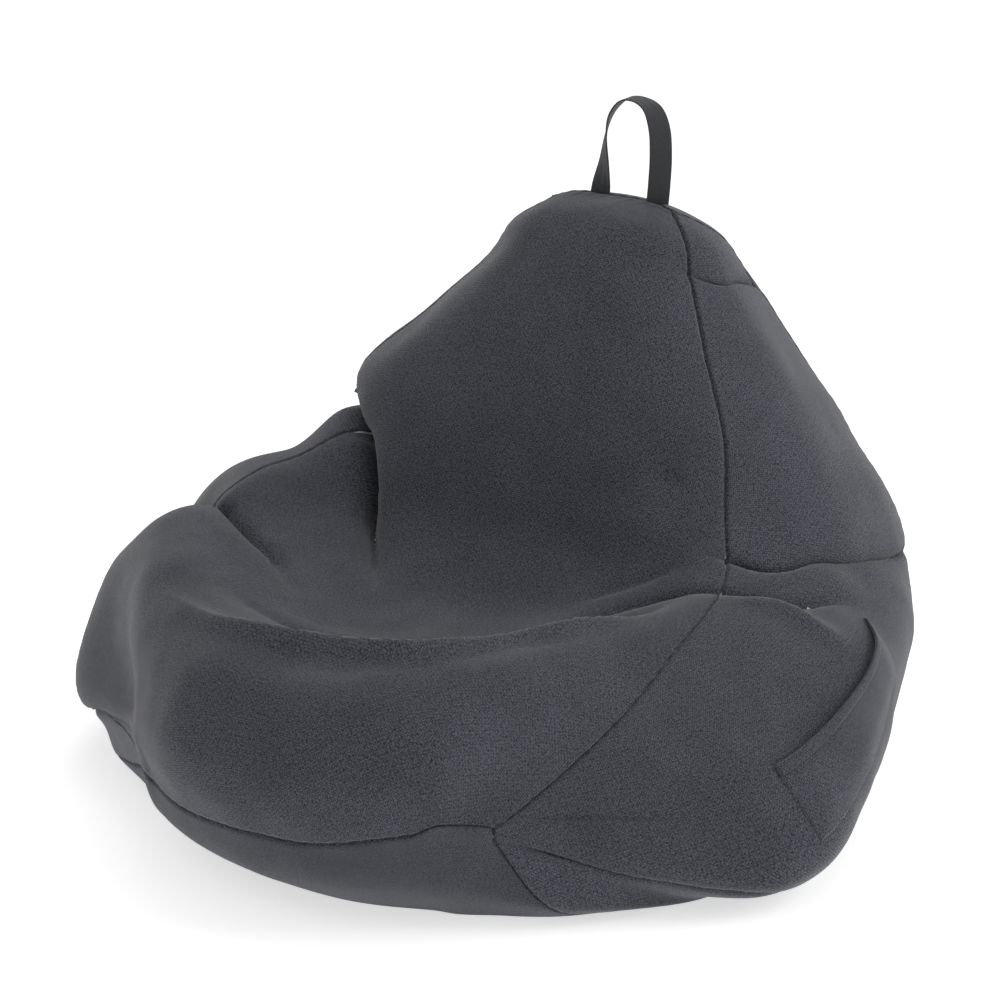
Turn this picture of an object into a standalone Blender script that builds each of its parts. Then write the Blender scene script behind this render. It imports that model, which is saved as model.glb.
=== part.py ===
"""Bean bag chair: a sewn cover with a carry handle, a side pocket and a rear zip, over a zipped liner of beads.

Metres, +Z up. The sitter faces -Y, and +X is the sitter's left. The origin is on the floor under the middle.
"""

import math

import bmesh
import bpy
import numpy as np
from mathutils import Vector

# Driving dimensions
FABRIC = 0.0012              # cover cloth
SEAM_GAP = 0.0015            # how far each cover panel stops short of its seam line
LINER_DEPTH = 0.0085         # liner's outer face below the cover's outer face
LINER_CLOTH = 0.0008
FILL_DEPTH = 0.0125          # beads' outer face below the cover's outer face
LINER_FLOOR = 0.0105         # lowest point of the liner, which leaves room for its slider
FILL_FLOOR = 0.0140
SWAY = 0.07                  # the sack sits turned a little: sideways shift for each metre forward
SAMPLES = 2                  # mesh points for each step between sections
COVER_SAMPLES = 4            # the same for the cover, whose seams bend more
CORNER_SAMPLES = 12          # the same across the left front corner, where the base seam falls steeply
CORNER_COLUMNS = (2.5, 4.0)
MIDDLE = Vector((-0.0123, -0.002, 0.0))   # moves the finished sack's box over the origin

ZIP_RADIUS = 0.80            # the zip runs round the rear on this arc
ZIP_HEIGHT = 0.095
ZIP_HALF_ANGLE = math.radians(19)
ZIP_REAR = 0.455             # y of the zip at the middle of the rear
ZIP_OPENING = 0.006          # half the gap between the two rear panels, where the coils show
ZIP_COLUMNS = (6, 10)
TAPE_PAST = 0.25             # columns by which the tapes run past the zip's ends
ROW_ABOVE, ROW_BELOW = 0.030, 0.040    # height between the zip's section and its neighbours
TAPE_WIDTH = 0.013
TAPE_THICK = 0.0007
TAPE_DEPTH = 0.0020          # tape's outer face below the cover's outer face
TAPE_FROM = 0.0006           # tape's inner edge from the zip line
COIL_RADIUS = 0.00115
COIL_RISE = 0.0013           # each coil's centre above or below the zip line
COIL_DEPTH = 0.0005
COIL_SHORT = 0.08            # columns by which a coil stops short of its tape's ends
SLIDER_LIFT = 0.0046         # slider's inner face outside the zip's arc
SLIDER_SIZE = (0.0110, 0.0020, 0.0085)   # along the zip, out of the sack, up
SLIDER_START = math.radians(-15)
LUG_SIZE = (0.0042, 0.0052, 0.0010)
LUG_GAP = 0.0034             # clear height between the two lugs
LUG_BACK = 0.0012            # each lug's middle inside the pin's centre
PIN_RADIUS = 0.0007
PIN_OUT = 0.0026             # pin's centre outside the slider's outer face
EYE_RADIUS, EYE_HOLE = 0.0020, 0.0011
PULL_LONG, PULL_HIGH, PULL_THICK = 0.0260, 0.0046, 0.0012
PULL_START = 0.0045          # the pull's plate starts this far from the pin
NECK_LONG, NECK_MIDDLE = 0.0036, 0.0032
EYE_PLAY = 0.0008            # the eye is lower than the space between the lugs by this
STOP_SIZE = (0.0022, 0.0014, 0.0050)

STRAP_HALF_WIDTH = 0.0125    # 25 mm webbing
STRAP_THICK = 0.0018
STRAP_HALF_SPAN = 0.036
STRAP_HEIGHT = 0.110
STRAP_FOOT = Vector((-0.012, 0.285, 0.5918))   # on the top seam, midway between the strap's ends

POCKET_CORNERS = ((4.02, 6.50), (3.57, 8.90), (3.89, 9.95), (4.20, 7.45))   # column, row: mouth, then far edge
POCKET_GAPE = 0.012          # how far the middle of the mouth stands off the side
POCKET_CLEAR = 0.0026
HEM_SHARE = (0.01, 0.14)     # the hem's edges as shares of the way down the pocket
HEM_THICK = 0.0010
HEM_CLEAR = 0.0009

ANCHOR_SIZE = (0.028, 0.005, 1.0)    # half its length and width
ANCHOR_THICK = 0.0010
ANCHOR_DOWN = 0.0058         # below the strap's feet

LINER_ZIP_Y = 0.02
LINER_ZIP_HALF = 0.15
LINER_SLOT_HALF = 0.016
LINER_COIL_OUT = 0.0015      # each coil's centre from the zip's middle line
LINER_TAPE_IN = 0.0032       # tape's inner edge from the zip's middle line
LINER_TAPE_THICK = 0.0006
LINER_SLIDER_SIZE = (0.0110, 0.0085, 0.0026)
LINER_SLIDER_LOOP = (0.0055, 0.0022, 0.0020)

# Columns round a section, from the middle of the front by the +X side to the middle of the rear
FRONT_SEAM, REAR_SEAM, COLUMNS = 3, 5, 16
ZIP_ROW, BASE_ROW = 9, 13

# Sections of the sack from the top seam down, each half a loop: front middle, two front points,
# front seam, side, rear seam, two rear points, rear middle.
SECTIONS = (
    # top seam
    ((0, .285, .590), (.03, .285, .590), (.056, .285, .588), (.079, .285, .581), (.086, .286, .577),
     (.079, .287, .581), (.056, .287, .588), (.03, .287, .590), (0, .287, .590)),
    # crown
    ((0, .226, .577), (.043, .227, .575), (.086, .233, .568), (.119, .250, .554), (.134, .285, .548),
     (.119, .325, .55), (.082, .340, .561), (.043, .347, .567), (0, .348, .570)),
    # head
    ((0, .185, .53), (.053, .187, .528), (.102, .20, .524), (.136, .232, .518), (.164, .28, .505),
     (.146, .345, .505), (.102, .370, .515), (.053, .381, .522), (0, .384, .522)),
    # neck
    ((0, .145, .460), (.07, .147, .457), (.135, .158, .454), (.180, .190, .449), (.218, .265, .435),
     (.19, .37, .435), (.135, .402, .441), (.07, .415, .445), (0, .418, .446)),
    # upper back
    ((0, .105, .382), (.085, .106, .381), (.162, .118, .378), (.219, .158, .374), (.272, .25, .36),
     (.242, .385, .36), (.16, .426, .367), (.08, .440, .371), (0, .444, .372)),
    # lower back
    ((0, .070, .305), (.09, .070, .304), (.175, .080, .303), (.243, .120, .303), (.322, .235, .285),
     (.288, .395, .285), (.19, .442, .288), (.095, .459, .29), (0, .464, .29)),
    # waist
    ((0, .03, .247), (.095, .030, .246), (.19, .040, .248), (.268, .078, .260), (.356, .20, .225),
     (.325, .392, .225), (.21, .449, .221), (.105, .467, .22), (0, .472, .22)),
    # seat rear
    ((0, -.06, .204), (.10, -.055, .208), (.205, -.035, .232), (.288, .000, .247), (.420, .14, .18),
     (.355, .362, .165), (.23, .433, .162), (.115, .461, .16), (0, .468, .16)),
    # seat
    ((0, -.19, .202), (.105, -.185, .212), (.21, -.145, .244), (.288, -.09, .222), (.445, .07, .135),
     (.362, .340, .125), (.24, .420, .125), (.12, .452, .125), (0, .462, .125)),
    # zip
    ((0, -.31, .240), (.11, -.30, .246), (.205, -.24, .243), (.280, -.175, .186), (.456, .0, .095),
     (.358, .320, .095), (.24, .418, .095), (.12, .446, .095), (0, .455, .095)),
    # lip
    ((0, -.405, .233), (.11, -.395, .233), (.20, -.335, .211), (.263, -.245, .153), (.452, -.06, .062),
     (.350, .300, .055), (.238, .400, .055), (.12, .432, .055), (0, .441, .055)),
    # lip front
    ((0, -.455, .175), (.105, -.445, .175), (.185, -.395, .164), (.240, -.31, .122), (.436, -.11, .034),
     (.335, .275, .025), (.228, .375, .025), (.115, .408, .025), (0, .417, .025)),
    # front roll
    ((0, -.468, .133), (.10, -.455, .133), (.178, -.412, .130), (.230, -.35, .112), (.406, -.13, .014),
     (.318, .253, .012), (.215, .350, .012), (.108, .382, .012), (0, .390, .012)),
    # base seam
    ((0, -.460, .095), (.09, -.448, .095), (.165, -.415, .098), (.213, -.372, .10), (.365, -.14, .006),
     (.300, .230, .006), (.20, .325, .006), (.10, .355, .006), (0, .362, .006)),
    # base roll
    ((0, -.436, .042), (.088, -.427, .042), (.165, -.398, .042), (.218, -.355, .040), (.352, -.15, .0015),
     (.285, .217, .0015), (.19, .308, .0015), (.095, .338, .0015), (0, .345, .0015)),
    # floor edge
    ((0, -.375, .0), (.08, -.370, .0), (.155, -.350, .0), (.208, -.315, .0), (.332, -.14, .0),
     (.265, .200, .0), (.175, .285, .0), (.088, .312, .0), (0, .320, .0)),
)

# Places where the beads have pushed the sack: centre, reach, push
LOBES = (
    ((-.27, .18, .36), .09, (-.026, -.01, .012)),    # shoulder on the sitter's right
    ((-.36, .02, .26), .16, (-.040, 0, .055)),    # arm on the sitter's right
    ((-.32, -.21, .23), .15, (-.100, -.005, .045)),    # lip on the sitter's right
    ((.46, -.10, .06), .16, (.040, -.030, 0)),    # hip on the sitter's left
    ((.34, .36, .25), .09, (.008, .004, 0)),    # rear corner on the sitter's left
    ((-.13, .25, .54), .09, (.012, 0, -.003)),    # head's corner on the sitter's right
    ((-.25, .17, .42), .05, (.016, 0, 0)),    # neck on the sitter's right
    ((-.22, -.36, .0), .16, (.010, .016, 0)),    # base on the sitter's right
    ((-.315, -.005, .23), .09, (.024, 0, -.016)),    # end of the arm on the sitter's right
    ((-.34, -.24, .07), .10, (-.026, 0, 0)),    # hip on the sitter's right
    ((.28, -.28, .0), .09, (.006, -.018, 0)),    # base at the left front corner
    ((.17, -.36, .0), .07, (-.006, .010, 0)),    # base beside that corner
)

# Rows by which the seams near the floor drop below their sections, by column from the front middle
SEAM_DROP = (
    (-8, 0), (-6, 0), (-5, .4), (-4.2, 1.2), (-3.6, 1.0), (-2.8, .38), (-.9, .19), (.7, .03), (2.1, -.35),
    (2.65, -.75), (3, -1.06), (3.15, -.2), (3.3, .75), (3.45, 1.3), (3.6, 1.45), (4.6, 1.45), (6, 0), (8, 0),
)
# Stretches where the seam on the sitter's right lies further round: columns, column, reach, first and last
# rows, and the rows over which it comes in and goes out
SEAM_PULLS = (
    (0.62, -3.2, 0.9, 7.2, 13.2, 1.6, 1.6),
    (0.50, -3.1, 0.8, 0.4, 5.2, 1.2, 1.0),
)
DROP_FROM, DROP_OVER = 10, 3     # the drop comes in over these rows above the base seam

PARTS = bpy.data.collections.new("bean_bag_chair")
HELPERS = bpy.data.collections.new("cutters")


# Helpers

def clear_scene():
    for obj in list(bpy.data.objects):
        bpy.data.objects.remove(obj, do_unlink=True)
    bpy.context.scene.collection.children.link(PARTS)
    bpy.context.scene.collection.children.link(HELPERS)


def finish(name, colour, roughness, metallic=0.0):
    material = bpy.data.materials.new(name)
    material.use_nodes = True
    shader = material.node_tree.nodes["Principled BSDF"]
    shader.inputs["Base Color"].default_value = (*colour, 1.0)
    shader.inputs["Roughness"].default_value = roughness
    shader.inputs["Metallic"].default_value = metallic
    return material


def add_part(name, data, material, place=(0, 0, 0)):
    obj = bpy.data.objects.new(name, data)
    obj.location = place
    data.materials.append(material)
    PARTS.objects.link(obj)
    return obj


def thicken(obj, thickness, outward=False):
    solidify = obj.modifiers.new("Thickness", "SOLIDIFY")
    solidify.thickness = thickness
    solidify.offset = 1.0 if outward else -1.0
    solidify.use_even_offset = False
    return obj


def spline_point(before, start, end, after, share):
    """A point between start and end on the smooth curve through all four."""
    return 0.5 * (2 * start + (end - before) * share + (2 * before - 5 * start + 4 * end - after) * share ** 2
                  + (3 * start - before - 3 * end + after) * share ** 3)


# The sack's form

def whole_section(half):
    """A section's 16 points, round from the front middle: the half given, then its mirror image."""
    half = np.array(half, float)
    return np.concatenate([half, half[-2:0:-1] * (-1, 1, 1)])


CAGE = np.array([whole_section(half) for half in SECTIONS])


def settled(point):
    """Where a point of the even cage lies once the beads have settled."""
    moved = np.array(point, float)
    for centre, reach, push in LOBES:
        far = ((np.array(point) - centre) ** 2).sum() / reach ** 2
        moved += math.exp(-far) * np.array(push)
    moved[0] -= SWAY * moved[1]
    moved[2] = max(moved[2], 0.0)
    return moved + np.array(MIDDLE)


def sack_point(column, row):
    """The cover's outer surface at a column (0 to 16, round) and a row (0 at the top seam)."""
    last = len(CAGE) - 1
    above = min(int(row), last - 1)
    rows = []
    for number in range(above - 1, above + 3):
        ring = CAGE[min(max(number, 0), last)]
        left = int(math.floor(column))
        rows.append(spline_point(*(ring[(left + step) % COLUMNS] for step in (-1, 0, 1, 2)), column - left))
    return settled(spline_point(*rows, row - above))


def sack_normal(column, row):
    reach = 0.02
    last = len(CAGE) - 1
    across = sack_point(column + reach, row) - sack_point(column - reach, row)
    down = sack_point(column, min(row + reach, last)) - sack_point(column, max(row - reach, 0.0))
    normal = np.cross(down, across)
    return normal / np.linalg.norm(normal)


def ease(share):
    share = min(max(share, 0.0), 1.0)
    return share * share * (3 - 2 * share)


def laid(column, row):
    """The column and row of the sack at which a place of the even seam pattern lies."""
    round_from_front = (column + COLUMNS / 2) % COLUMNS - COLUMNS / 2
    pulled = 0.0
    for columns, middle, reach, first, last, come_in, go_out in SEAM_PULLS:
        near = math.exp(-((round_from_front - middle) / reach) ** 2)
        pulled += columns * near * ease((row - first) / come_in) * ease((last - row) / go_out)
    drop = np.interp(round_from_front, *zip(*SEAM_DROP))
    last_row = len(CAGE) - 1
    if row < BASE_ROW:
        share = ease((row - DROP_FROM) / DROP_OVER)
    else:
        share = (last_row - row) / (last_row - BASE_ROW)
    return column - pulled, row + drop * share


def steps(start, end, samples=SAMPLES):
    count = round((end - start) * samples)
    return [start + (end - start) * step / count for step in range(count + 1)]


def patch(places, depth=0.0):
    """An open sheet over rows of places, each a column and a row of the sack, its faces outward."""
    bm = bmesh.new()
    grid = [[bm.verts.new(sack_point(*place) - depth * sack_normal(*place)) for place in line]
            for line in places]
    for upper, lower in zip(grid, grid[1:]):
        for left in range(len(upper) - 1):
            bm.faces.new((upper[left], lower[left], lower[left + 1], upper[left + 1]))
    return bm


def to_mesh(bm, name):
    mesh = bpy.data.meshes.new(name)
    bmesh.ops.triangulate(bm, faces=bm.faces[:])
    bm.to_mesh(mesh)
    bm.free()
    mesh.shade_smooth()
    mesh.set_sharp_from_angle(angle=math.radians(60))
    return mesh


def trim_border(bm, width):
    """Takes a strip of this width off all round an open sheet."""
    bm.normal_update()
    ring = bmesh.ops.inset_region(bm, faces=bm.faces[:], thickness=width, use_boundary=True)
    bmesh.ops.delete(bm, geom=ring["faces"], context="FACES")


def cover_columns(start, end):
    """Columns of a cover piece, closer together across the left front corner."""
    corner = steps(*CORNER_COLUMNS, CORNER_SAMPLES)
    outside = [c for c in steps(start, end, COVER_SAMPLES) if not CORNER_COLUMNS[0] < c < CORNER_COLUMNS[1]]
    return sorted(set(outside) | {round(c, 6) for c in corner if start <= c <= end})


def rear_place(column, row):
    """As laid, but the two rear panels meet past the ends of the zip."""
    past = not ZIP_COLUMNS[0] <= column <= ZIP_COLUMNS[1]
    if past and zip_row(ZIP_OPENING) <= row <= zip_row(-ZIP_OPENING):
        row = ZIP_ROW
    return laid(column, row)


def cover_panel(name, columns, rows, material, place=laid):
    bm = patch([[place(column, row) for column in columns] for row in rows])
    trim_border(bm, SEAM_GAP)
    return thicken(add_part(name, to_mesh(bm, name), material), FABRIC)


def full_rings(bm, places, depth, floor):
    """Closed rings through rows of places, this deep inside the sack and never below the floor height."""
    rings = []
    for line in places:
        ring = []
        for place in line:
            point = sack_point(*place) - depth * sack_normal(*place)
            point[2] = max(point[2], floor)
            ring.append(bm.verts.new(point))
        rings.append(ring)
    return rings


def join_rings(bm, rings):
    count = len(rings[0])
    for upper, lower in zip(rings, rings[1:]):
        for left in range(count):
            right = (left + 1) % count
            bm.faces.new((upper[left], lower[left], lower[right], upper[right]))


def zip_row(height):
    """The row this far above the zip line, or below it where negative."""
    return ZIP_ROW - height / (ROW_ABOVE if height > 0 else ROW_BELOW)


# Cover

def build_cover(material, base_material):
    body_rows = steps(0, BASE_ROW, COVER_SAMPLES)
    cover_panel("front_panel", cover_columns(-FRONT_SEAM, FRONT_SEAM), body_rows, material)
    cover_panel("side_panel_left", cover_columns(FRONT_SEAM, REAR_SEAM), body_rows, material)
    right_side = cover_columns(COLUMNS - REAR_SEAM, COLUMNS - FRONT_SEAM)
    cover_panel("side_panel_right", right_side, body_rows, material)
    rear = cover_columns(REAR_SEAM, COLUMNS - REAR_SEAM)
    above = steps(0, ZIP_ROW, COVER_SAMPLES)[:-1] + [zip_row(ZIP_OPENING)]
    below = [zip_row(-ZIP_OPENING)] + steps(ZIP_ROW, BASE_ROW, COVER_SAMPLES)[1:]
    cover_panel("rear_panel", rear, above, material, rear_place)
    cover_panel("rear_lower_panel", rear, below, material, rear_place)
    build_base(base_material)


def build_base(material):
    bm = bmesh.new()
    columns = cover_columns(0, COLUMNS)[:-1]
    rows = steps(BASE_ROW, len(CAGE) - 1)
    rings = full_rings(bm, [[laid(column, row) for column in columns] for row in rows], 0.0, 0.0)
    join_rings(bm, rings)
    bm.faces.new(rings[-1][::-1])
    trim_border(bm, SEAM_GAP)
    thicken(add_part("base_panel", to_mesh(bm, "base_panel"), material), FABRIC)


# Inside the cover

def inner_places():
    """Rings of places for the pieces inside the cover."""
    return [[(column, row) for column in steps(0, COLUMNS)[:-1]] for row in [0.5] + steps(1, len(CAGE) - 1)]


def build_liner(material):
    bm = bmesh.new()
    rings = full_rings(bm, inner_places(), LINER_DEPTH, LINER_FLOOR)
    join_rings(bm, rings)
    bm.faces.new(rings[0])
    slot = [bm.verts.new((x, LINER_ZIP_Y + y, LINER_FLOOR)) for x, y in (
        (-LINER_ZIP_HALF, -LINER_SLOT_HALF), (LINER_ZIP_HALF, -LINER_SLOT_HALF),
        (LINER_ZIP_HALF, LINER_SLOT_HALF), (-LINER_ZIP_HALF, LINER_SLOT_HALF))]
    slot_edges = [bm.edges.new((slot[number], slot[(number + 1) % 4])) for number in range(4)]
    rim = [bm.edges.get((a, b)) for a, b in zip(rings[-1], rings[-1][1:] + rings[-1][:1])]
    filled = bmesh.ops.triangle_fill(bm, use_beauty=True, edges=slot_edges + rim, normal=(0, 0, -1))
    for face in [f for f in filled["geom"] if isinstance(f, bmesh.types.BMFace)]:
        if all(vert in slot for vert in face.verts):
            bm.faces.remove(face)
    bmesh.ops.recalc_face_normals(bm, faces=bm.faces[:])
    thicken(add_part("inner_liner", to_mesh(bm, "inner_liner"), material), LINER_CLOTH)


def build_fill(material):
    bm = bmesh.new()
    rings = full_rings(bm, inner_places(), FILL_DEPTH, FILL_FLOOR)
    join_rings(bm, rings)
    bm.faces.new(rings[0])
    bm.faces.new(rings[-1][::-1])
    add_part("bean_fill", to_mesh(bm, "bean_fill"), material)


# Side pocket: a patch sewn on three sides, its mouth along the upper edge, held a little open

def pocket_point(along, down, lift):
    """A point of the pocket: along its mouth from the rear, down from the mouth, lifted off its own cloth."""
    rear_top, front_top, front_low, rear_low = (np.array(corner) for corner in POCKET_CORNERS)
    top = rear_top + (front_top - rear_top) * along
    low = rear_low + (front_low - rear_low) * along
    column, row = top + (low - top) * down
    gape = POCKET_GAPE * math.sin(math.pi * along) * (1 - down) ** 1.5
    return sack_point(column, row) + (POCKET_CLEAR + gape + lift) * sack_normal(column, row)


def pocket_sheet(name, downs, lift, thickness, material):
    bm = bmesh.new()
    alongs = steps(0, 1, 8)
    grid = [[bm.verts.new(pocket_point(along, down, lift)) for along in alongs] for down in downs]
    for upper, lower in zip(grid, grid[1:]):
        for left in range(len(alongs) - 1):
            bm.faces.new((upper[left], upper[left + 1], lower[left + 1], lower[left]))
    thicken(add_part(name, to_mesh(bm, name), material), thickness, outward=True)


def build_pocket(material, hem_material):
    pocket_sheet("side_pocket", steps(0, 1, 5), 0.0, FABRIC, material)
    pocket_sheet("pocket_hem", HEM_SHARE, FABRIC + HEM_CLEAR, HEM_THICK, hem_material)


# Carry handle: a webbing loop whose ends are sewn into the top seam, with a patch behind the seam

def strap_line():
    """The loop's middle line seen from the front, foot to foot, as smooth points through a few knots."""
    w, h = STRAP_HALF_SPAN, STRAP_HEIGHT
    half = ((w, 0.0), (w * 1.04, h * 0.35), (w * 0.86, h * 0.75), (w * 0.42, h * 0.96))
    knots = [(-x, z) for x, z in half] + [(0, h)] + [(x, z) for x, z in half[::-1]]
    knots = [np.array((x, 0.0, z)) for x, z in knots]
    knots = [2 * knots[0] - knots[1]] + knots + [2 * knots[-1] - knots[-2]]
    line = []
    for number in range(1, len(knots) - 2):
        line += [spline_point(*knots[number - 1:number + 3], step / 3) for step in range(3)]
    return line + [knots[-2]]


def strap_width(line, number):
    """Half the strap's width as a vector: along the seam at the feet, turned front to rear at the top."""
    share = number / (len(line) - 1)
    climb = 1 - abs(2 * share - 1)
    turn = math.radians(90) * climb ** 1.3
    width = np.array((math.copysign(math.cos(turn), share - 0.5), math.sin(turn), 0.0))
    along = line[min(number + 1, len(line) - 1)] - line[max(number - 1, 0)]
    along /= np.linalg.norm(along)
    width -= along * width.dot(along)
    return width / np.linalg.norm(width) * STRAP_HALF_WIDTH


def build_handle(material):
    line = strap_line()
    bm = bmesh.new()
    pairs = []
    for number, middle in enumerate(line):
        half = strap_width(line, number)
        pairs.append([bm.verts.new(middle - half), bm.verts.new(middle + half)])
    for (a, b), (d, c) in zip(pairs, pairs[1:]):
        bm.faces.new((a, b, c, d))
    strap = thicken(add_part("carry_handle", to_mesh(bm, "carry_handle"), material, STRAP_FOOT), STRAP_THICK)
    strap.modifiers["Thickness"].offset = 0.0


def build_anchor(material):
    """The strip of webbing inside the top seam that both strap ends are sewn through."""
    bm = bmesh.new()
    bmesh.ops.create_grid(bm, x_segments=6, y_segments=1, size=1.0)
    bmesh.ops.scale(bm, verts=bm.verts[:], vec=ANCHOR_SIZE)
    place = STRAP_FOOT - Vector((0, 0, ANCHOR_DOWN))
    thicken(add_part("handle_anchor_patch", to_mesh(bm, "handle_anchor_patch"), material, place), ANCHOR_THICK)


# Cover zip, round the rear just above the floor

ZIP_AXIS = Vector((-SWAY * ZIP_REAR, ZIP_REAR - ZIP_RADIUS, ZIP_HEIGHT)) + MIDDLE


def build_zip_tape(name, rows, material):
    columns = [ZIP_COLUMNS[0] - TAPE_PAST] + steps(*ZIP_COLUMNS) + [ZIP_COLUMNS[1] + TAPE_PAST]
    bm = patch([[(column, row) for column in columns] for row in rows], TAPE_DEPTH)
    thicken(add_part(name, to_mesh(bm, name), material), TAPE_THICK)


def tube(name, points, radius, material):
    curve = bpy.data.curves.new(name, "CURVE")
    curve.dimensions = "3D"
    curve.bevel_depth = radius
    curve.bevel_resolution = 1
    curve.use_fill_caps = True
    spline = curve.splines.new("POLY")
    spline.points.add(len(points) - 1)
    for knot, point in zip(spline.points, points):
        knot.co = (*point, 1)
    add_part(name, curve, material)


def build_coil(name, height, material):
    columns = [ZIP_COLUMNS[0] + COIL_SHORT] + steps(*ZIP_COLUMNS)[1:-1] + [ZIP_COLUMNS[1] - COIL_SHORT]
    row = zip_row(height)
    tube(name, [sack_point(c, row) - COIL_DEPTH * sack_normal(c, row) for c in columns], COIL_RADIUS, material)


def box(bm, middle, size):
    made = bmesh.ops.create_cube(bm, size=1.0)["verts"]
    bmesh.ops.scale(bm, verts=made, vec=size)
    bmesh.ops.translate(bm, verts=made, vec=middle)


def upright_rod(bm, middle, radius, height, sides=12):
    made = bmesh.ops.create_cone(bm, cap_ends=True, segments=sides, radius1=radius, radius2=radius,
                                 depth=height)
    bmesh.ops.translate(bm, verts=made["verts"], vec=middle)


def cutter(name, bm, owner, operation):
    """A helper solid joined to its owner, or cut from it, in the owner's own coordinates."""
    helper = bpy.data.objects.new(name, to_mesh(bm, name))
    HELPERS.objects.link(helper)
    helper.location = owner.location
    helper.rotation_euler = owner.rotation_euler
    helper.hide_render = True
    helper.display_type = "WIRE"
    boolean = owner.modifiers.new(name, "BOOLEAN")
    boolean.operation = operation
    boolean.object = helper


def rounded_box(name, middle, size, material, place, turn):
    bm = bmesh.new()
    box(bm, middle, size)
    bmesh.ops.bevel(bm, geom=bm.edges[:], offset=min(size) * 0.2, segments=1, affect="EDGES")
    obj = add_part(name, to_mesh(bm, name), material, place)
    obj.rotation_euler = (0, 0, turn)
    return obj


def add_lugs(slider, pin_out, name):
    """Two ears and the upright pin that the pull swings on."""
    for number, side in enumerate((-1, 1)):
        bm = bmesh.new()
        height = side * (LUG_GAP + LUG_SIZE[2]) / 2
        box(bm, (0, pin_out - LUG_BACK, height), LUG_SIZE)
        cutter(f"{name}_lug_{number}", bm, slider, "UNION")
    bm = bmesh.new()
    upright_rod(bm, (0, pin_out, 0), PIN_RADIUS, LUG_GAP + LUG_SIZE[2])
    cutter(f"{name}_pin", bm, slider, "UNION")


def build_slider(material):
    middle = ZIP_RADIUS + SLIDER_LIFT + SLIDER_SIZE[1] / 2
    slider = rounded_box("zip_slider", (0, middle, 0), SLIDER_SIZE, material, ZIP_AXIS, SLIDER_START)
    pin_out = ZIP_RADIUS + SLIDER_LIFT + SLIDER_SIZE[1] + PIN_OUT
    add_lugs(slider, pin_out, "zip_slider")
    return ZIP_AXIS + Vector((-math.sin(SLIDER_START) * pin_out, math.cos(SLIDER_START) * pin_out, 0))


def build_pull(pin, material):
    """The pull lies along the zip, towards its closed end, with its origin on the pin."""
    plate = PULL_LONG - PULL_START
    eye_high = LUG_GAP - EYE_PLAY
    size = (plate, PULL_THICK, PULL_HIGH)
    pull = rounded_box("zip_pull", (PULL_START + plate / 2, 0, 0), size, material, pin, SLIDER_START)
    bm = bmesh.new()
    box(bm, (NECK_MIDDLE, 0, 0), (NECK_LONG, PULL_THICK, eye_high))
    cutter("zip_pull_neck", bm, pull, "UNION")
    bm = bmesh.new()
    upright_rod(bm, (0, 0, 0), EYE_RADIUS, eye_high, 16)
    cutter("zip_pull_eye", bm, pull, "UNION")
    bm = bmesh.new()
    upright_rod(bm, (0, 0, 0), EYE_HOLE, LUG_GAP * 2, 12)
    cutter("zip_pull_hole", bm, pull, "DIFFERENCE")


def build_stop(name, column, material):
    normal = Vector(sack_normal(column, ZIP_ROW))
    place = Vector(sack_point(column, ZIP_ROW)) - normal * STOP_SIZE[1] * 0.5
    rounded_box(name, (0, 0, 0), STOP_SIZE, material, place, math.atan2(-normal.x, normal.y))


def build_cover_zip(tape, coil, metal):
    build_zip_tape("zip_tape_upper", [zip_row(TAPE_WIDTH), zip_row(TAPE_FROM)], tape)
    build_zip_tape("zip_tape_lower", [zip_row(-TAPE_FROM), zip_row(-TAPE_WIDTH)], tape)
    build_coil("zip_coil_upper", COIL_RISE, coil)
    build_coil("zip_coil_lower", -COIL_RISE, coil)
    build_pull(build_slider(metal), metal)
    build_stop("zip_closed_end_stop", ZIP_COLUMNS[0] + 0.03, metal)
    build_stop("zip_open_end_stop", ZIP_COLUMNS[1] - 0.03, metal)


# Liner zip, straight along the liner's underside; its slider has no pull, so that a child can't open it

def build_liner_zip(tape, coil, slider):
    tape_out = LINER_SLOT_HALF - 0.0005
    height = LINER_FLOOR + LINER_TAPE_THICK / 2
    for name, side in (("front", -1), ("rear", 1)):
        bm = bmesh.new()
        box(bm, (0, LINER_ZIP_Y + side * (LINER_TAPE_IN + tape_out) / 2, height),
            (2 * LINER_ZIP_HALF - 0.001, tape_out - LINER_TAPE_IN, LINER_TAPE_THICK))
        add_part(f"liner_zip_tape_{name}", to_mesh(bm, "tape"), tape)
        y = LINER_ZIP_Y + side * LINER_COIL_OUT
        ends = [(x, y, height) for x in (-LINER_ZIP_HALF + 0.004, LINER_ZIP_HALF - 0.004)]
        tube(f"liner_zip_coil_{name}", ends, COIL_RADIUS, coil)
    place = Vector((-LINER_ZIP_HALF + 0.012, LINER_ZIP_Y, LINER_FLOOR - 0.0030))
    body = rounded_box("liner_zip_slider", (0, 0, 0), LINER_SLIDER_SIZE, slider, place, 0)
    bm = bmesh.new()
    box(bm, (0.0015, 0, -0.0018), LINER_SLIDER_LOOP)
    cutter("liner_slider_loop", bm, body, "UNION")


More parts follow.
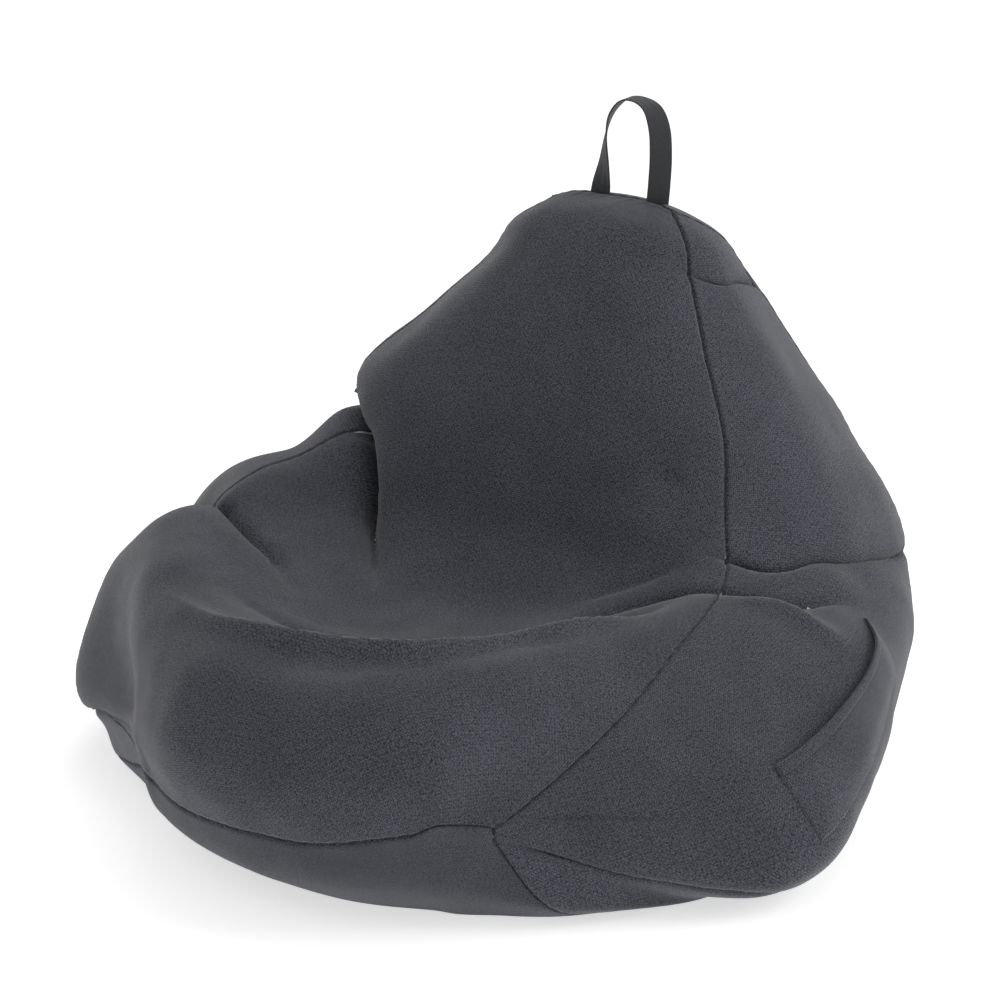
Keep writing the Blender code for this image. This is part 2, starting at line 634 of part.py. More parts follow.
def main():
    clear_scene()
    cover = finish("charcoal_cover_cloth", (0.055, 0.058, 0.064), 0.95)
    base = finish("base_cloth", (0.045, 0.047, 0.052), 0.95)
    webbing = finish("strap_webbing", (0.030, 0.031, 0.035), 0.85)
    hem = finish("hem_binding", (0.040, 0.042, 0.047), 0.9)
    liner = finish("liner_cloth", (0.75, 0.75, 0.73), 0.8)
    beads = finish("bead_fill", (0.88, 0.88, 0.86), 0.7)
    tape = finish("zip_tape", (0.030, 0.031, 0.034), 0.9)
    coil = finish("zip_coil", (0.020, 0.020, 0.022), 0.45)
    metal = finish("zip_metal", (0.10, 0.10, 0.105), 0.35, 1.0)
    build_cover(cover, base)
    build_pocket(cover, hem)
    build_handle(webbing)
    build_anchor(webbing)
    build_cover_zip(tape, coil, metal)
    build_liner(liner)
    build_liner_zip(tape, coil, metal)
    build_fill(beads)


main()
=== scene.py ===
# %% [markdown]
# # Bean bag chair
# A bean bag chair is a large sewn sack of charcoal woven cloth, filled loosely with polystyrene beads. Nothing
# inside is stiff: the sack keeps its shape only because the beads lock together where they are squeezed. So its
# look is all in three things: the heavy rounded mass, the few deep creases where the cloth has folded, and the
# cloth itself.
#
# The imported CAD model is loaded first. It fixes the size and the place of every piece, and each piece modelled
# here rides on one of its bodies.

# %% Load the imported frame
import math

import bmesh
import bpy
import numpy as np
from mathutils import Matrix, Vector


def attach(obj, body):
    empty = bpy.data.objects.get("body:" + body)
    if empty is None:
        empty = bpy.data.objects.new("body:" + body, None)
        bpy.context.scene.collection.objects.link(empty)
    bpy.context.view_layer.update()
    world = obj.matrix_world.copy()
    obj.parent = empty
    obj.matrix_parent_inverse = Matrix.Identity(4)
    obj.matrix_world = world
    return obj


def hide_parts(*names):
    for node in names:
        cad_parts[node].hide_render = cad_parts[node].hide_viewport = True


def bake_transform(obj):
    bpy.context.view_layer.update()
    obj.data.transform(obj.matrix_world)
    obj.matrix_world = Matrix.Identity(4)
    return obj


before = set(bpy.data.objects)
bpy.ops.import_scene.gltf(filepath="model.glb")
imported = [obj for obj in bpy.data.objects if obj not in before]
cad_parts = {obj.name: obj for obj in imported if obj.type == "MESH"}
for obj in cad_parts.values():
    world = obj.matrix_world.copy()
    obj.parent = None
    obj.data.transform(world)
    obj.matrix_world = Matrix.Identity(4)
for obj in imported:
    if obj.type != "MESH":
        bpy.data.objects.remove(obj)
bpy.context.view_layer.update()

# %% [markdown]
# ## Camera, floor and light
# The chair is seen from its left front, a little from above, through a long lens, as a catalogue shows it. A long
# lens keeps the front from swelling. The floor is a plain pale sheet, and the light is broad and soft: a white
# world gives the even fill, a big overhead panel models the top, a weak panel fills the left and a stronger one
# rims the right.

# %% Camera
AZIMUTH, ELEVATION, DISTANCE = math.radians(34.5), math.radians(18.1), 3.9
TARGET = Vector((0.031, -0.030, 0.325))
LENS = 132

to_camera = Vector((math.sin(AZIMUTH) * math.cos(ELEVATION), -math.cos(AZIMUTH) * math.cos(ELEVATION),
                    math.sin(ELEVATION)))
camera = bpy.data.objects.new("camera", bpy.data.cameras.new("camera"))
bpy.context.scene.collection.objects.link(camera)
camera.location = TARGET + to_camera * DISTANCE
camera.rotation_euler = (-to_camera).to_track_quat("-Z", "Y").to_euler()
camera.data.lens = LENS
camera.data.clip_end = 100
bpy.context.scene.camera = camera
print("camera at", [round(x, 3) for x in camera.location])


# %% Floor, world and soft panels
def plain_material(name, colour, roughness):
    material = bpy.data.materials.new(name)
    material.use_nodes = True
    shader = material.node_tree.nodes["Principled BSDF"]
    shader.inputs["Base Color"].default_value = (*colour, 1)
    shader.inputs["Roughness"].default_value = roughness
    return material


def soft_panel(name, place, aim, size, power):
    light = bpy.data.lights.new(name, "AREA")
    light.shape = "RECTANGLE"
    light.size, light.size_y = size
    light.energy = power
    obj = bpy.data.objects.new(name, light)
    bpy.context.scene.collection.objects.link(obj)
    obj.location = place
    obj.rotation_euler = (Vector(aim) - Vector(place)).to_track_quat("-Z", "Y").to_euler()


bpy.ops.mesh.primitive_plane_add(size=40, location=(0, 0, -0.0005))
floor = bpy.context.object
floor.name = "studio_floor"
pale = plain_material("pale floor", (0.90, 0.90, 0.90), 0.9)
pale.node_tree.nodes["Principled BSDF"].inputs["Emission Color"].default_value = (1, 1, 1, 1)
pale.node_tree.nodes["Principled BSDF"].inputs["Emission Strength"].default_value = 0.58
floor.data.materials.append(pale)
world = bpy.data.worlds.new("white studio")
world.use_nodes = True
world.node_tree.nodes["Background"].inputs["Color"].default_value = (1, 1, 1, 1)
world.node_tree.nodes["Background"].inputs["Strength"].default_value = 0.50
bpy.context.scene.world = world
bpy.context.scene.view_settings.view_transform = "Standard"
soft_panel("overhead panel", (-0.3, 1.0, 2.7), (0, 0, 0.2), (2.6, 1.8), 20)
soft_panel("left panel", (-2.6, -1.4, 1.5), (0, 0, 0.3), (1.6, 1.8), 5)
soft_panel("right panel", (2.4, 1.2, 1.5), (0, 0, 0.3), (1.4, 1.8), 30)

# %% [markdown]
# ## The form of the sack
# The cover is sewn from a few tapered panels, so its form is easiest to hold as a stack of sections: one loop of 16
# points at each height from the top seam, over the back, seat and lip, down to the floor. A smooth curve through
# the loops and a smooth curve down through the sections give the surface at any column and row. The CAD model
# uses the same sections, so the cloth here fits it.

# %% Sections from the top seam to the floor
SWAY = 0.07
MIDDLE = np.array((-0.0123, -0.002, 0.0))
HALF_SECTIONS = (
    # top seam
    ((0, .285, .590), (.03, .285, .590), (.056, .285, .588), (.079, .285, .581), (.086, .286, .577),
     (.079, .287, .581), (.056, .287, .588), (.03, .287, .590), (0, .287, .590)),
    # crown
    ((0, .226, .577), (.043, .227, .575), (.086, .233, .568), (.119, .250, .554), (.134, .285, .548),
     (.119, .325, .55), (.082, .340, .561), (.043, .347, .567), (0, .348, .570)),
    # head
    ((0, .185, .53), (.053, .187, .528), (.102, .20, .524), (.136, .232, .518), (.164, .28, .505),
     (.146, .345, .505), (.102, .370, .515), (.053, .381, .522), (0, .384, .522)),
    # neck
    ((0, .145, .460), (.07, .147, .457), (.135, .158, .454), (.180, .190, .449), (.218, .265, .435),
     (.19, .37, .435), (.135, .402, .441), (.07, .415, .445), (0, .418, .446)),
    # upper back
    ((0, .105, .382), (.085, .106, .381), (.162, .118, .378), (.219, .158, .374), (.272, .25, .36),
     (.242, .385, .36), (.16, .426, .367), (.08, .440, .371), (0, .444, .372)),
    # lower back
    ((0, .070, .305), (.09, .070, .304), (.175, .080, .303), (.243, .120, .303), (.322, .235, .285),
     (.288, .395, .285), (.19, .442, .288), (.095, .459, .29), (0, .464, .29)),
    # waist
    ((0, .03, .247), (.095, .030, .246), (.19, .040, .248), (.268, .078, .260), (.356, .20, .225),
     (.325, .392, .225), (.21, .449, .221), (.105, .467, .22), (0, .472, .22)),
    # seat rear
    ((0, -.06, .204), (.10, -.055, .208), (.205, -.035, .232), (.288, .000, .247), (.420, .14, .18),
     (.355, .362, .165), (.23, .433, .162), (.115, .461, .16), (0, .468, .16)),
    # seat
    ((0, -.19, .202), (.105, -.185, .212), (.21, -.145, .244), (.288, -.09, .222), (.445, .07, .135),
     (.362, .340, .125), (.24, .420, .125), (.12, .452, .125), (0, .462, .125)),
    # zip
    ((0, -.31, .240), (.11, -.30, .246), (.205, -.24, .243), (.280, -.175, .186), (.456, .0, .095),
     (.358, .320, .095), (.24, .418, .095), (.12, .446, .095), (0, .455, .095)),
    # lip
    ((0, -.405, .233), (.11, -.395, .233), (.20, -.335, .211), (.263, -.245, .153), (.452, -.06, .062),
     (.350, .300, .055), (.238, .400, .055), (.12, .432, .055), (0, .441, .055)),
    # lip front
    ((0, -.455, .175), (.105, -.445, .175), (.185, -.395, .164), (.240, -.31, .122), (.436, -.11, .034),
     (.335, .275, .025), (.228, .375, .025), (.115, .408, .025), (0, .417, .025)),
    # front roll
    ((0, -.468, .133), (.10, -.455, .133), (.178, -.412, .130), (.230, -.35, .112), (.406, -.13, .014),
     (.318, .253, .012), (.215, .350, .012), (.108, .382, .012), (0, .390, .012)),
    # base seam
    ((0, -.460, .095), (.09, -.448, .095), (.165, -.415, .098), (.213, -.372, .10), (.365, -.14, .006),
     (.300, .230, .006), (.20, .325, .006), (.10, .355, .006), (0, .362, .006)),
    # base roll
    ((0, -.436, .042), (.088, -.427, .042), (.165, -.398, .042), (.218, -.355, .040), (.352, -.15, .0015),
     (.285, .217, .0015), (.19, .308, .0015), (.095, .338, .0015), (0, .345, .0015)),
    # floor edge
    ((0, -.375, .0), (.08, -.370, .0), (.155, -.350, .0), (.208, -.315, .0), (.332, -.14, .0),
     (.265, .200, .0), (.175, .285, .0), (.088, .312, .0), (0, .320, .0)),
)
LOBES = (    # where the beads have pushed the sack out: centre, reach, push
    ((-.27, .18, .36), .09, (-.026, -.01, .012)),
    ((-.36, .02, .26), .16, (-.040, 0, .055)),
    ((-.32, -.21, .23), .15, (-.100, -.005, .045)),
    ((.46, -.10, .06), .16, (.040, -.030, 0)),
    ((.34, .36, .25), .09, (.008, .004, 0)),
    ((-.13, .25, .54), .09, (.012, 0, -.003)),
    ((-.25, .17, .42), .05, (.016, 0, 0)),
    ((-.22, -.36, .0), .16, (.010, .016, 0)),
    ((-.315, -.005, .23), .09, (.024, 0, -.016)),
    ((-.34, -.24, .07), .10, (-.026, 0, 0)),
    ((.28, -.28, .0), .09, (.006, -.018, 0)),
    ((.17, -.36, .0), .07, (-.006, .010, 0)),
)
COLUMNS, LAST_ROW = 16, 15
FRONT_SEAM, REAR_SEAM, ZIP_ROW, BASE_ROW = 3, 5, 9, 13


def whole_section(half):
    """A section's 16 points, round from the front middle: the half given, then its mirror image."""
    half = np.array(half, float)
    return np.concatenate([half, half[-2:0:-1] * (-1, 1, 1)])


CAGE = np.array([whole_section(half) for half in HALF_SECTIONS])


# %% The smooth surface at any columns and rows
def spline(before, start, end, after, share):
    """Points between start and end on the smooth curve through all four."""
    return 0.5 * (2 * start + (end - before) * share + (2 * before - 5 * start + 4 * end - after) * share ** 2
                  + (3 * start - before - 3 * end + after) * share ** 3)


def settled(points):
    """Where points of the even cage lie once the beads have settled."""
    moved = points.copy()
    for centre, reach, push in LOBES:
        far = ((points - np.array(centre)) ** 2).sum(-1) / reach ** 2
        moved += np.exp(-far)[..., None] * np.array(push)
    moved[..., 0] -= SWAY * moved[..., 1]
    moved[..., 2] = np.maximum(moved[..., 2], 0)
    return moved + MIDDLE


def smooth_sack(columns, rows):
    """Points of the sack's smooth surface for arrays of columns (round) and rows (down)."""
    left = np.floor(columns).astype(int)
    above = np.clip(np.floor(rows).astype(int), 0, LAST_ROW - 1)
    lines = []
    for row_step in (-1, 0, 1, 2):
        ring = np.clip(above + row_step, 0, LAST_ROW)
        lines.append(spline(*(CAGE[ring, (left + step) % COLUMNS] for step in (-1, 0, 1, 2)),
                            (columns - left)[..., None]))
    return settled(spline(*lines, (rows - above)[..., None]))


def sack_normals(columns, rows, reach=0.02):
    """Outward directions of the smooth surface."""
    across = smooth_sack(columns + reach, rows) - smooth_sack(columns - reach, rows)
    down = (smooth_sack(columns, np.minimum(rows + reach, LAST_ROW))
            - smooth_sack(columns, np.maximum(rows - reach, 0)))
    normal = np.cross(down, across)
    return normal / np.maximum(np.linalg.norm(normal, axis=-1, keepdims=True), 1e-12)


# %% [markdown]
# The seams don't follow the sections exactly. The base seam climbs from the sitter's right to the left front
# corner, and there the side panel runs down to the floor. The seam on the sitter's right is pulled round to the
# side by the swollen lip. So an even pattern of columns and rows is laid on the sack with a little shift.

# %% Where the even pattern lies
SEAM_DROP = (    # column counted from the front middle, and how many rows lower the base seam lies there
    (-8, 0), (-6, 0), (-5, .4), (-4.2, 1.2), (-3.6, 1.0), (-2.8, .38), (-.9, .19), (.7, .03), (2.1, -.35),
    (2.65, -.75), (3, -1.06), (3.15, -.2), (3.3, .75), (3.45, 1.5), (3.6, 1.85), (4.6, 1.85), (6, 0), (8, 0),
)


def ease(x):
    x = np.clip(x, 0, 1)
    return x * x * (3 - 2 * x)


def laid(columns, rows):
    """The columns and rows of the sack at which an even pattern of panels lies."""
    round_from_front = (columns + COLUMNS / 2) % COLUMNS - COLUMNS / 2
    pulled = 0.62 * np.exp(-((round_from_front + 3.2) / 0.9) ** 2)
    pulled = pulled * ease((rows - 7.2) / 1.6) * ease((BASE_ROW + .2 - rows) / 1.6)
    hidden = 0.50 * np.exp(-((round_from_front + 3.1) / 0.8) ** 2)
    hidden = hidden * ease((rows - 0.4) / 1.2) * ease(5.2 - rows)
    drop = np.interp(round_from_front, *np.array(SEAM_DROP, float).T)
    share = np.where(rows < BASE_ROW, ease((rows - 10) / 3), (LAST_ROW - rows) / (LAST_ROW - BASE_ROW))
    return columns - pulled - hidden, rows + drop * share


print("sack cage:", CAGE.shape[0], "sections of", CAGE.shape[1], "points")

# %% [markdown]
# ## Creases and ridges
# Where the sack is bent, the spare cloth folds into deep creases with full round cloth on both sides, and where
# beads push from inside it stands up in long soft ridges. A sculptor would draw them as strokes, so each one here
# is a stroke: a smooth line over the sack, given by a few columns and rows, with a depth or height, a width, and
# how far its two sides lean in over it. Deep creases fall away sharply at the line and are round at the shoulders.

# %% Strokes of the sculptor
CREASES = (    # knots (column, row), depth, width, lean, fade at the start and at the end as shares of the line
    # between the back and the arm on the sitter's right
    (((-5.2, 4.4), (-4.3, 4.6), (-3.5, 4.7), (-2.95, 4.95), (-2.6, 5.05), (-2.2, 5.45), (-1.85, 5.9), (-1.45, 6.4),
      (-1.15, 6.8), (-.8, 7.2)), .074, .019, .004, .40, .42),
    # between the arm and the lip on the sitter's right
    (((-4.2, 8.3), (-3.5, 7.9), (-2.95, 7.7), (-2.6, 7.5), (-2.1, 7.55), (-1.85, 7.6), (-1.6, 7.6), (-1.3, 7.8),
      (-1.0, 8.1)), .050, .020, .005, .25, .55),
    # across the side on the sitter's left, where the back meets the arm
    (((2.6, 5.6), (3.0, 5.72), (3.4, 5.85), (3.8, 5.6), (4.3, 5.8), (4.8, 6.2), (5.3, 6.5)),
     .036, .013, .009, .25, .40),
    # from the seat's edge behind the lip, over the left seam and into a short slot in the side
    (((1.0, 7.3), (1.6, 6.85), (2.2, 6.5), (2.8, 6.42), (3.2, 6.5), (3.5, 6.42), (3.8, 6.25), (4.1, 6.3)),
     .022, .012, .003, .5, .25),
    # under the head, round the left shoulder
    (((2.2, 1.65), (2.7, 1.70), (3.1, 1.82), (3.7, 1.88), (4.3, 1.9), (4.8, 2.1), (5.4, 2.5)),
     .011, .012, .006, .45, .4),
    # low on the left side, where the cloth tucks under
    (((3.02, 12.7), (3.3, 12.45), (3.5, 12.4), (3.7, 12.15), (3.9, 11.7), (4.2, 11.6)), .016, .010, .006, .3, .5),
    (((2.95, 11.5), (3.1, 11.1), (3.35, 10.5), (3.6, 10.0)), .005, .007, .001, .3, .5),
    # soft bends
    (((1.1, 6.8), (1.45, 6.45), (1.85, 6.15), (2.2, 5.9), (2.7, 5.75)), .006, .016, .001, .5, .4),
    (((2.6, 4.7), (2.1, 4.5), (1.6, 4.6)), .006, .022, 0, .5, .5),
    # the seat, hollowed behind the lip
    (((-1.5, 8.7), (-.6, 8.4), (.4, 8.2), (1.2, 7.9), (1.9, 7.4), (2.4, 6.8), (2.7, 6.2)), .022, .036, 0, .30, .35),
    # left silhouette, where the lip bears on the base
    (((-4.6, 11.6), (-4.0, 12.1), (-3.4, 12.5), (-2.9, 12.7), (-2.3, 12.9)), .016, .016, .004, .4, .5),
)
RIDGES = (    # knots, height, width, lean, fades
    (((-1.6, 9.5), (-.9, 9.35), (-.3, 9.25), (.4, 9.2), (1.1, 8.8), (1.7, 8.0), (2.3, 7.3), (2.85, 7.0)),
     .014, .022, 0, .35, .2),
    (((-2.2, 9.5), (-1.34, 9.45), (-.81, 9.4), (-.28, 9.3), (.3, 9.2), (.92, 9.05), (1.4, 8.65), (1.84, 8.0),
      (2.4, 7.2), (2.85, 6.8)), .010, .011, 0, .30, .3),
    (((3.1, 6.35), (3.4, 6.1), (3.8, 5.95), (4.2, 6.1)), .008, .014, 0, .4, .4),
    (((3.0, 6.75), (3.35, 6.65), (3.6, 6.85), (3.85, 7.0)), .010, .014, 0, .4, .4),
)


def line_through(knots, count=90):
    """Points along a smooth curve through knots of (column, row)."""
    knots = np.array(knots, float)
    padded = np.concatenate([[2 * knots[0] - knots[1]], knots, [2 * knots[-1] - knots[-2]]])
    at = np.linspace(0, len(knots) - 1, count)
    step = np.minimum(at.astype(int), len(knots) - 2)
    return spline(*(padded[step + k] for k in range(4)), (at - step)[:, None])


def unit(vectors):
    return vectors / np.linalg.norm(vectors, axis=-1, keepdims=True)


def walked_line(points):
    """Metres walked along a line to each of its points."""
    return np.concatenate([[0], np.cumsum(np.linalg.norm(np.diff(points, axis=0), axis=1))])


def stroke_frames(knots):
    """Points, outward directions and sideways directions along a stroke, and each point's share of the way."""
    line = line_through(knots)
    points = smooth_sack(line[:, 0], line[:, 1])
    out = sack_normals(line[:, 0], line[:, 1])
    side = unit(np.cross(np.gradient(points, axis=0), out))
    walked = walked_line(points)
    return points, out, side, walked / walked[-1]


STROKES = [(stroke_frames(knots), sign * depth, width, lean, start, end)
           for sign, group in ((-1, CREASES), (1, RIDGES))
           for knots, depth, width, lean, start, end in group]
print(len(STROKES), "strokes")


# %% [markdown]
# Between the creases the cloth isn't even: loose beads make broad shallow swells, and the weave creeps into small
# soft wrinkles. A smooth noise with a fixed seed gives both, broad and slow first, then finer and shallower.

# %% Broad swells and soft wrinkles
def soft_noise(points, scale, seed):
    """Smooth noise from -1 to 1, its swells about scale metres across."""
    lattice = np.random.default_rng(seed).uniform(-1, 1, (64, 64, 64))
    at = points / scale + 31.7
    cell = np.floor(at).astype(int)
    share = ease(at - cell)
    total = np.zeros(points.shape[:-1])
    for corner in np.ndindex(2, 2, 2):
        weight = np.prod(np.where(np.array(corner) == 1, share, 1 - share), axis=-1)
        total += weight * lattice[tuple(((cell + corner) % 64)[..., k] for k in range(3))]
    return total


def sculpted(columns, rows):
    """The sack's surface with its creases, ridges and swells, for arrays of columns and rows."""
    smooth = smooth_sack(columns, rows)
    out = sack_normals(columns, rows)
    moved = smooth.copy()
    for (line, line_out, line_side, share), height, width, lean, start, end in STROKES:
        low, high = line.min(0) - width * 6, line.max(0) + width * 6
        near = ((smooth > low) & (smooth < high)).all(-1)
        if not near.any():
            continue
        here = smooth[near]
        gaps = np.linalg.norm(here[:, None] - line, axis=-1)
        closest = gaps.argmin(1)
        away = ((here - line[closest]) * line_side[closest]).sum(-1)
        gap = gaps.min(1)
        facing = ease((out[near] * line_out[closest]).sum(-1) * 2)
        fade = ease(share[closest] / start) * ease((1 - share[closest]) / end) * facing
        if height < 0:
            shape = 0.62 * np.exp(-gap / width) + 0.38 * np.exp(-(gap / (0.45 * width)) ** 2)
        else:
            shape = np.exp(-(gap / width) ** 2)
        pull = -np.sign(away) * lean * (np.abs(away) / width) * np.exp(1 - gap / width) * fade
        moved[near] += line_out[closest] * (height * shape * fade)[:, None] + line_side[closest] * pull[:, None]
    behind = ease((np.abs((columns + COLUMNS / 2) % COLUMNS - COLUMNS / 2) - 5) / 0.7)
    calm = 1 - behind * ease((0.9 - np.abs(rows - ZIP_ROW)) / 0.6)
    rise = ease((smooth[..., 2] - 0.004) / 0.05) * calm * (0.3 + 0.7 * ease(rows / 1.2))
    swell = (0.0035 * soft_noise(smooth, 0.085, 3) + 0.0011 * soft_noise(smooth, 0.034, 5)) * rise
    moved += out * swell[..., None]
    moved[..., 2] = np.maximum(moved[..., 2], 0.0003)
    return moved


# %% [markdown]
# ## Cover panels
# The cover has a long front panel that runs from the top seam over the back, the seat and the lip, a side panel on
# each hand, a rear panel above the zip, a low rear strip below it, and a base. Each is cut as its own piece of
# cloth, so each is its own mesh here: a fine grid over its columns and rows, with closer lines at its edges, where
# the cloth turns in to the seam. Its UV map is the panel unwrapped flat, in real metres, for the weave.

# %% A panel of cloth
CELL = 0.0042
FABRIC = 0.0012
SEAM_DEPTH, SEAM_ROUND = 0.0042, 0.0021
PUCKER, PUCKER_REACH, PUCKER_STEP = 0.0005, 0.010, 0.017    # small gathers along the seams: height, reach, spacing
TURN = np.array((0.0008, 0.0018, 0.0030, 0.0046))    # how far the close lines at an edge lie from it


def spaced(start, end, length):
    """Even steps over a length in metres, with close ones at both ends."""
    per_metre = (end - start) / length
    count = max(round((length - 2 * TURN[-1]) / CELL), 2)
    inner = np.linspace(start + TURN[-1] * per_metre, end - TURN[-1] * per_metre, count + 1)
    edge = TURN[:-1] * per_metre
    return np.concatenate([[start], start + edge, inner, end - edge[::-1], [end]])


def grid_object(name, points, uv, wrap=False):
    """A mesh of quads over a grid of points, with a UV map in metres. A wrapped grid closes on itself round."""
    rows, columns = points.shape[:2]
    index = np.arange(rows * columns).reshape(rows, columns)
    if wrap:
        index = np.concatenate([index, index[:, :1]], axis=1)
    quads = np.stack([index[:-1, :-1], index[1:, :-1], index[1:, 1:], index[:-1, 1:]], -1).reshape(-1, 4)
    mesh = bpy.data.meshes.new(name)
    mesh.from_pydata(points.reshape(-1, 3).tolist(), [], quads.tolist())
    layer = mesh.uv_layers.new(name="cloth")
    layer.data.foreach_set("uv", uv.reshape(-1, 2)[quads.ravel()].astype(np.float32).ravel())
    mesh.shade_smooth()
    obj = bpy.data.objects.new(name, mesh)
    bpy.context.scene.collection.objects.link(obj)
    return obj


def walked_along(points, axis):
    """Metres walked along the lines of a grid, from each line's start."""
    step = np.linalg.norm(np.diff(points, axis=axis), axis=-1)
    start = np.zeros_like(np.take(step, [0], axis))
    return np.concatenate([start, np.cumsum(step, axis)], axis)


def grid_normals(points):
    normal = np.cross(np.gradient(points, axis=0), np.gradient(points, axis=1))
    return normal / np.maximum(np.linalg.norm(normal, axis=-1, keepdims=True), 1e-12)


def deselect():
    bpy.ops.object.select_all(action="DESELECT")


def activate(obj):
    """Selects this object and no other."""
    deselect()
    obj.select_set(True)
    bpy.context.view_layer.objects.active = obj


def apply_all(obj):
    """Applies the object's modifiers, in order."""
    activate(obj)
    for modifier in list(obj.modifiers):
        bpy.ops.object.modifier_apply(modifier=modifier.name)


def give_thickness(obj, thickness):
    solidify = obj.modifiers.new("cloth thickness", "SOLIDIFY")
    solidify.thickness = thickness
    solidify.offset = -1
    solidify.use_even_offset = False
    apply_all(obj)


def settle(obj, node, material, body="sack"):
    """The finishing calls of a piece that stands for a CAD node."""
    obj.data.materials.clear()
    obj.data.materials.append(material)
    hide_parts(node)
    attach(obj, body)


def flat_pattern(columns, rows, steps=44):
    """UV coordinates in metres of a panel's points. A coarse copy is unwrapped flat, as the cut cloth is, then
    turned and scaled to lie on the lengths walked along its columns and rows, and read between its points."""
    few_columns = np.linspace(columns[0], columns[-1], steps)
    few_rows = np.linspace(rows[0], rows[-1], steps)
    points = smooth_sack(*laid(*np.meshgrid(few_columns, few_rows)))
    walked = walked_along(points, 1) - 1j * walked_along(points, 0)
    walked -= walked[:, [steps // 2]].real
    copy = grid_object("pattern", points, np.stack([walked.real, walked.imag], -1))
    activate(copy)
    bpy.ops.object.mode_set(mode="EDIT")
    bpy.ops.mesh.select_all(action="SELECT")
    bpy.ops.uv.unwrap(method="MINIMUM_STRETCH", iterations=30, margin=0)
    bpy.ops.object.mode_set(mode="OBJECT")
    corners = np.empty(len(copy.data.loops) * 2, np.float32)
    copy.data.uv_layers["cloth"].data.foreach_get("uv", corners)
    owners = np.empty(len(copy.data.loops), np.int32)
    copy.data.loops.foreach_get("vertex_index", owners)
    bpy.data.objects.remove(copy)
    flat = np.empty(steps * steps, complex)
    flat[owners] = corners[0::2] + 1j * corners[1::2]
    flat = flat.reshape(steps, steps) - flat.mean()
    flat *= (np.conj(flat) * (walked - walked.mean())).sum() / (abs(flat) ** 2).sum()
    wide = np.array([np.interp(columns, few_columns, line) for line in flat])
    return np.stack([np.interp(rows, few_rows, line) for line in wide.T], 1)


ZIP_COLUMNS = (6, 10)
ZIP_REACH = 0.5               # rows about the zip within which a panel's edge belongs to it
ZIP_HALF, CLOSING = 2.0, 0.18    # columns from the zip's middle to its ends, and over which its edges then meet
EDGE_FOLLOWS = 0.6            # how many rows above or below the edge move with it


def panel_points(columns, rows):
    """A panel's surface with its edges turned in to the seams, and its UV map."""
    grid_columns, grid_rows = np.meshgrid(columns, rows)
    if ZIP_ROW - ZIP_REACH < rows[-1] < ZIP_ROW or ZIP_ROW < rows[0] < ZIP_ROW + ZIP_REACH:
        zip_edge = rows[-1] if rows[-1] < ZIP_ROW else rows[0]
        past = ease((np.abs(grid_columns - np.mean(ZIP_COLUMNS)) - ZIP_HALF) / CLOSING)
        near = np.exp(-((grid_rows - zip_edge) / EDGE_FOLLOWS) ** 2)
        grid_rows = grid_rows + (ZIP_ROW - zip_edge) * past * near
    points = sculpted(*laid(grid_columns, grid_rows))
    across, down = walked_along(points, 1), walked_along(points, 0)
    sides = np.minimum(across, across[:, -1:] - across)
    ends = np.minimum(down, down[-1:] - down)
    pucker = PUCKER * (np.exp(-sides / PUCKER_REACH) * np.sin(down * 2 * math.pi / PUCKER_STEP)
                       + np.exp(-ends / PUCKER_REACH) * np.sin(across * 2 * math.pi / PUCKER_STEP))
    wide_enough = ease(across[:, -1:] / 0.05)
    turn = np.maximum(np.exp(-(sides / SEAM_ROUND) ** 2), np.exp(-(ends / SEAM_ROUND) ** 2))
    seam = SEAM_DEPTH * wide_enough * turn
    turned = points + grid_normals(points) * (pucker - seam)[..., None]
    turned[..., 2] = np.maximum(turned[..., 2], 0.0003)
    flat = flat_pattern(columns, rows)
    return turned, np.stack([flat.real, flat.imag], -1)


def cover_panel(name, start, end, top, bottom):
    wide = walked_along(smooth_sack(*np.meshgrid(np.linspace(start, end, 60), np.linspace(top, bottom, 40))), 1)
    long = walked_along(smooth_sack(*np.meshgrid(np.linspace(start, end, 9), np.linspace(top, bottom, 200))), 0)
    columns = spaced(start, end, wide[:, -1].max() * 0.92)
    rows = spaced(top, bottom, long[-1].max() * 0.92)
    points, uv = panel_points(columns, rows)
    obj = grid_object(name, points, uv)
    give_thickness(obj, FABRIC)
    print(f"{name}: {len(columns)} x {len(rows)} points, {wide[:, -1].max():.3f} m at its widest, "
          f"{long[-1].max():.3f} m long, {sum(len(p.vertices) - 2 for p in obj.data.polygons)} triangles")
    return obj


# %% [markdown]
# ## Charcoal cloth
# The cover is a soft heathered weave: thick yarns over and under each other, each a slightly different grey, with
# a brushed nap that catches light where it is seen edge-on. The pattern is made from the UV map in metres: two
# crossed sine waves give the over-and-under of a plain weave, stretched noise gives each yarn its own shade, slow
# noise gives the rubbed patches, and the sheen gives the pale rim of a napped cloth.

# %% Material helpers
def node(tree, kind, inputs=(), **settings):
    """A new node, with its settings, and its inputs set to values or joined to sockets."""
    made = tree.nodes.new(kind)
    for name, value in settings.items():
        setattr(made, name, value)
    for name, value in dict(inputs).items():
        if isinstance(value, bpy.types.NodeSocket):
            tree.links.new(value, made.inputs[name])
        else:
            made.inputs[name].default_value = value
    return made


def maths(tree, operation, first, second=0.0, clamp=False):
    return node(tree, "ShaderNodeMath", {0: first, 1: second}, operation=operation, use_clamp=clamp).outputs[0]


def noise(tree, vector, scale, detail=2.0, rough=0.5):
    inputs = {"Vector": vector, "Scale": scale, "Detail": detail, "Roughness": rough}
    return node(tree, "ShaderNodeTexNoise", inputs).outputs["Fac"]


def stretched(tree, vector, scale, turn=0.0):
    """The vector with its own scale along each axis."""
    made = node(tree, "ShaderNodeMapping", {"Vector": vector, "Scale": scale, "Rotation": (0, 0, turn)})
    return made.outputs["Vector"]


